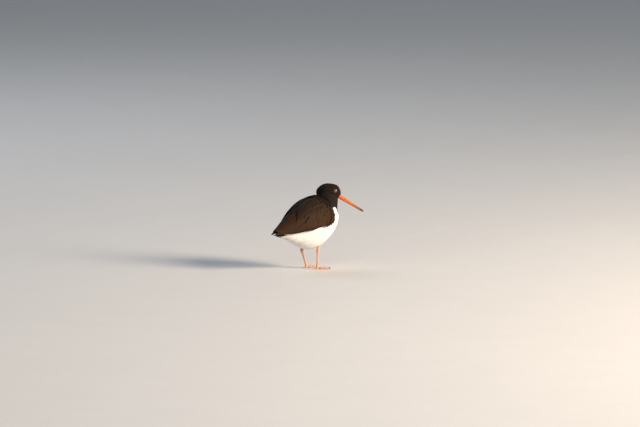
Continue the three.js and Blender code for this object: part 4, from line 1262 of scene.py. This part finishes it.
class BIRD_OT_legs(bpy.types.Operator):
    """Bare legs and feet: scaled skin, joints, pads, a small web between outer and middle toe, and claws"""

    bl_idname = "bird.legs"
    bl_label = "Legs and feet"

    def execute(self, context):
        look = context.scene.bird_soft_parts
        skin, joint, horn = tuple(look.legs), tuple(look.joints), tuple(look.claws)
        stops = [(0.0, skin), (0.3, skin), (0.43, joint), (0.56, skin), (0.86, skin), (1.0, joint)]
        material = horn_material("leg skin", stops, 0.5, 420.0, 0.45)
        claws = horn_material("claw horn", [(0.0, horn), (1.0, horn)], 0.32, 500.0, 0.3)
        for name, side in SIDES:
            *form, place = swept(leg_path(name), LEFT, LEG_WIDE, LEG_DEEP, 70, 32, 2)
            new_piece(f"shank_{name}", *form, material, "leg_skin", (f"leg_{name}",), {"Along": place})
            self.foot(name, side, material, claws)
            self.scutes(name, side, look, material)
        return {"FINISHED"}

    def foot(self, name, side, material, claws):
        """Toes, heel pad and web fused and cut flat on the floor, with each toe's joints a little swollen."""
        forms = []
        for title, turn, long, thick in TOES:
            way = toe_turn(name, side, turn)
            wide, deep = lambda t: toe_wide(t, thick), lambda t: toe_deep(t, thick)
            forms.append(swept(toe_path(name, way, long), beside(way), wide, deep, 40, 20, 2.5)[:2])
            self.claw(name, title, way, long, claws)
        heel = FOOT[name] + (-0.3, 0, HEEL_PAD[2] - HEEL_SUNK - FOOT[name][2])
        turn = np.linspace(0, math.pi, 16)
        centres = heel + HEEL_PAD[0] * np.cos(turn)[:, None] * np.array((1.0, 0, 0))
        ring = np.maximum(np.sin(turn), 0.02)
        forms.append(tube(centres, LEFT, UP, HEEL_PAD[1] * ring, HEEL_PAD[2] * ring, 20))
        path = path_through([FOOT[name] + UP * 4, FOOT[name], heel])
        half = lambda t: 3.4 + 0 * t
        forms.append(swept(path, LEFT, half, half, 12, 20, 1)[:2])
        forms.append(self.web(name, side))
        foot = fused(f"toes_{name}", forms, voxel=0.0006, smooth=3)
        spots, _ = mesh_arrays(foot)
        spots[:, 2] = np.maximum(spots[:, 2], 0)
        foot.data.vertices.foreach_set("co", to_model(spots).ravel())
        far = np.linalg.norm(spots[:, :2] - FOOT[name][:2], axis=1) / 40
        paint(foot.data, "Along", np.clip(0.6 + 0.25 * far, 0, 1))
        finish_piece(foot, material, (f"foot_{name}",))

    def web(self, name, side):
        """A small sheet of skin in the fork between the middle and the outer toe."""
        turns = [toe_turn(name, side, turn) for title, turn, *_ in TOES if title != "inner"]
        middle = sum(turns) / 2
        far = np.linspace(WEB_START, WEB_END, 14)
        centres = FOOT[name] * ON_FLOOR + far[:, None] * level(middle) + UP * (3.4 - far[:, None] * 0.11)
        half = math.tan(abs(turns[1] - turns[0]) / 2) * far * (1 - 0.25 * (far / WEB_END) ** 3)
        return tube(centres, beside(middle), UP, half, WEB_HALF_THICK + 0 * far, 24)

    def claw(self, name, title, way, long, material):
        foot = FOOT[name] * ON_FLOOR
        spots = [(-2.5, 2.8), (0.5, 2.9), (2.5, 2.3), (4.5, 1.0)]
        path = path_through([foot + level(way) * (long + far) + UP * height for far, height in spots])
        wide, deep = (through([(0, root), (0.5, 1.15), (1, 0.35)]) for root in (1.5, 1.6))
        points, faces, place = swept(path, beside(way), wide, deep, 24, 16, 0.8)
        points[:, 2] = np.maximum(points[:, 2], 0.3)
        new_piece(
            f"horn_{name}_{title}", points, faces, material, "claw",
            (f"claw_{name}_{title}",), {"Along": place},
        )

    def scutes(self, name, side, look, material):
        """Small scales round the shank in staggered rings, and broad ones over each toe, set out by nodes."""
        step = look.scute / MM
        plates = []
        path = leg_path(name)
        span = np.linalg.norm(KNEE[name] - ANKLE[name]) + np.linalg.norm(ANKLE[name] - FOOT[name])
        for k, t in enumerate(np.arange(*SHANK_SCUTES, step / span)):
            ahead = heading(path, t)
            y = square_to(LEFT, ahead)
            z = np.cross(ahead, y)
            wide, deep = LEG_WIDE(t), LEG_DEEP(t)
            size = (step * 0.56, step * 0.56 * deep / 3.0, 0.26)
            for j in range(SCUTES_ROUND):
                turn = FULL_TURN * (j + 0.5 * (k % 2)) / SCUTES_ROUND
                spot = path(t) + (y * math.cos(turn) * wide + z * math.sin(turn) * deep)
                out = unit(y * math.cos(turn) / wide + z * math.sin(turn) / deep)
                plates.append((spot, out, ahead, size))
        for title, turn, long, thick in TOES:
            toe = toe_path(name, toe_turn(name, side, turn), long)
            for t in np.arange(*TOE_SCUTES, TOE_SCUTE_STEP / long):
                ahead = heading(toe, t, 0.02)
                up = square_to(UP, ahead)
                size = (1.05, thick * 0.62, 0.34)
                plates.append((toe(t) + up * (toe_deep(t, thick) - 0.12), up, ahead, size))
        piece = scaled_piece(f"scutes_{name}", *map(np.array, zip(*plates)), material)
        paint(piece.data, "Along", np.full(len(piece.data.vertices), 0.65))
        finish_piece(piece, material)


def scale_tree(material):
    """Geometry nodes: one flattened scale on every point, turned and sized by the point's own attributes."""
    found = bpy.data.node_groups.get("Scales")
    if found:
        return found
    tree = bpy.data.node_groups.new("Scales", "GeometryNodeTree")
    tree.is_modifier = True
    sockets = tree.interface
    sockets.new_socket("Points", in_out="INPUT", socket_type="NodeSocketGeometry")
    for title, default in (("Segments", 8), ("Rings", 5)):
        sockets.new_socket(title, in_out="INPUT", socket_type="NodeSocketInt").default_value = default
    sockets.new_socket("Scales", in_out="OUTPUT", socket_type="NodeSocketGeometry")
    entry = node(tree, "NodeGroupInput").outputs
    ball = {"Segments": entry["Segments"], "Rings": entry["Rings"], "Radius": 1.0}
    scale = node(tree, "GeometryNodeMeshUVSphere", ball).outputs["Mesh"]
    turn, size = (
        node(
            tree, "GeometryNodeInputNamedAttribute", {"Name": title}, data_type="FLOAT_VECTOR",
        ).outputs["Attribute"]
        for title in ("turn", "size")
    )
    way = node(tree, "FunctionNodeEulerToRotation", {"Euler": turn}).outputs["Rotation"]
    placing = {"Points": entry["Points"], "Instance": scale, "Rotation": way, "Scale": size}
    placed = node(tree, "GeometryNodeInstanceOnPoints", placing).outputs["Instances"]
    real = node(tree, "GeometryNodeRealizeInstances", {"Geometry": placed}).outputs["Geometry"]
    painting = {"Geometry": real, "Material": material}
    painted = node(tree, "GeometryNodeSetMaterial", painting).outputs["Geometry"]
    node(tree, "NodeGroupOutput", {"Scales": painted})
    return tree


def scaled_piece(name, spots, normals, aheads, sizes, material):
    """A plain mesh of scales: X of each lies along the limb, Z stands out from it."""
    mesh = bpy.data.meshes.new(name)
    mesh.from_pydata(to_model(spots).tolist(), [], [])
    axes = np.stack([aheads, np.cross(normals, aheads), normals], -1)
    turns = np.array([Matrix(way.tolist()).to_euler() for way in axes])
    for title, values in (("turn", turns), ("size", sizes * MM)):
        mesh.attributes.new(title, "FLOAT_VECTOR", "POINT").data.foreach_set("vector", values.ravel())

    def modify(modifiers):
        modifiers.new("Scales", "NODES").node_group = scale_tree(material)

    return shaped(name, mesh, modify)


# Stage
PHOTO_WIDTH, PHOTO_HEIGHT = 640, 427
STANDING_PIXEL = (315.2, 267.5)
SENSOR = 36.0
FLOOR_HALF = 30.0
LIT_HEIGHT = 0.13


class BIRD_OT_stage(bpy.types.Operator):
    """Plain floor, soft lights, and the camera with the photograph's framing"""

    bl_idname = "bird.stage"
    bl_label = "Stage"

    def execute(self, context):
        stage = context.scene.bird_stage
        material, tree, principled = new_material("floor", {"Roughness": 0.8})
        feed(tree, principled, {"Base Color": mottle(tree, (*stage.floor, 1), 1.5, 0.05)["Colour"]})
        mesh = bpy.data.meshes.new("floor")
        corners = [(x * FLOOR_HALF, y * FLOOR_HALF, 0) for x, y in ((-1, -1), (1, -1), (1, 1), (-1, 1))]
        mesh.from_pydata(corners, [], [(0, 1, 2, 3)])
        mesh.materials.append(material)
        floor = bpy.data.objects.new("floor", mesh)
        context.scene.collection.objects.link(floor)
        self.camera(context, stage)
        self.lights(context, stage)
        return {"FINISHED"}

    def directions(self, stage):
        a, e = stage.azimuth, stage.elevation
        back = Vector((math.sin(a) * math.cos(e), -math.cos(a) * math.cos(e), math.sin(e)))
        right = Vector((math.cos(a), math.sin(a), 0))
        return back, right, back.cross(right)

    def camera(self, context, stage):
        """The bird's own origin falls on the pixel where it stands in the photograph."""
        back, right, up = self.directions(stage)
        data = bpy.data.cameras.new("camera")
        data.sensor_width = SENSOR
        data.lens = data.sensor_width * stage.distance / (PHOTO_WIDTH * stage.pixel)
        data.clip_end = 200
        camera = bpy.data.objects.new("camera", data)
        across = (PHOTO_WIDTH / 2 - STANDING_PIXEL[0]) * stage.pixel
        above = (STANDING_PIXEL[1] - PHOTO_HEIGHT / 2) * stage.pixel
        aim = Vector(SHIFT) + right * across + up * above
        camera.location = aim + back * stage.distance
        camera.rotation_mode = "QUATERNION"
        camera.rotation_quaternion = (-back).to_track_quat("-Z", "Y")
        context.scene.collection.objects.link(camera)
        context.scene.camera = camera

    def lights(self, context, stage):
        back, right, _ = self.directions(stage)
        toward, up = Vector((back.x, back.y, 0)).normalized(), Vector(UP)
        target = up * LIT_HEIGHT
        for name, way, power, size, tint in (
            ("key", right * 5.2 + toward * 2.2 + up * 2.2, stage.key, 2.2, (1.0, 0.82, 0.64)),
            ("rim", right * -3.5 - toward * 4.0 + up * 4.5, stage.key * 0.15, 3.5, (0.80, 0.88, 1.0)),
            ("front", toward * 5.5 + up * 3.5, stage.key * 0.07, 4.0, (0.92, 0.95, 1.0)),
        ):
            data = bpy.data.lights.new(name, "AREA")
            data.energy, data.size, data.color = power, size, tint
            light = bpy.data.objects.new(name, data)
            light.location = target + way
            light.rotation_mode = "QUATERNION"
            light.rotation_quaternion = (-way).to_track_quat("-Z", "Y")
            context.scene.collection.objects.link(light)
        world = bpy.data.worlds.new("studio")
        world.use_nodes = True
        background = world.node_tree.nodes["Background"]
        background.inputs["Color"].default_value = (0.78, 0.86, 0.96, 1)
        background.inputs["Strength"].default_value = stage.fill
        context.scene.world = world
        context.scene.view_settings.view_transform = "Standard"


class BIRD_PT_panel(bpy.types.Panel):
    bl_idname = "BIRD_PT_panel"
    bl_label = "Oystercatcher"
    bl_space_type = "VIEW_3D"
    bl_region_type = "UI"
    bl_category = "Oystercatcher"

    def draw(self, context):
        for settings in (context.scene.bird_plumage, context.scene.bird_soft_parts, context.scene.bird_stage):
            box = self.layout.box()
            for key in settings.__annotations__:
                box.prop(settings, key)
        for operator in OPERATORS:
            self.layout.operator(operator.bl_idname)


OPERATORS = (
    BIRD_OT_stage, BIRD_OT_skin, BIRD_OT_coat, BIRD_OT_wings, BIRD_OT_tail,
    BIRD_OT_bill, BIRD_OT_eyes, BIRD_OT_legs,
)
SETTINGS = (
    ("bird_plumage", PlumageSettings), ("bird_soft_parts", SoftPartSettings), ("bird_stage", StageSettings),
)


def register():
    for kind in (*(kind for _, kind in SETTINGS), *OPERATORS, BIRD_PT_panel):
        bpy.utils.register_class(kind)
    for name, kind in SETTINGS:
        setattr(bpy.types.Scene, name, PointerProperty(type=kind))


def unregister():
    for name, _ in SETTINGS:
        delattr(bpy.types.Scene, name)
    for kind in reversed((*(kind for _, kind in SETTINGS), *OPERATORS, BIRD_PT_panel)):
        bpy.utils.unregister_class(kind)


def main():
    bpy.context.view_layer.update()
    register()
    bpy.ops.bird.stage()
    bpy.ops.bird.skin()
    bpy.ops.bird.coat()
    bpy.ops.bird.wings()
    bpy.ops.bird.tail()
    bpy.ops.bird.bill()
    bpy.ops.bird.eyes()
    bpy.ops.bird.legs()


if __name__ == "__main__":
    main()
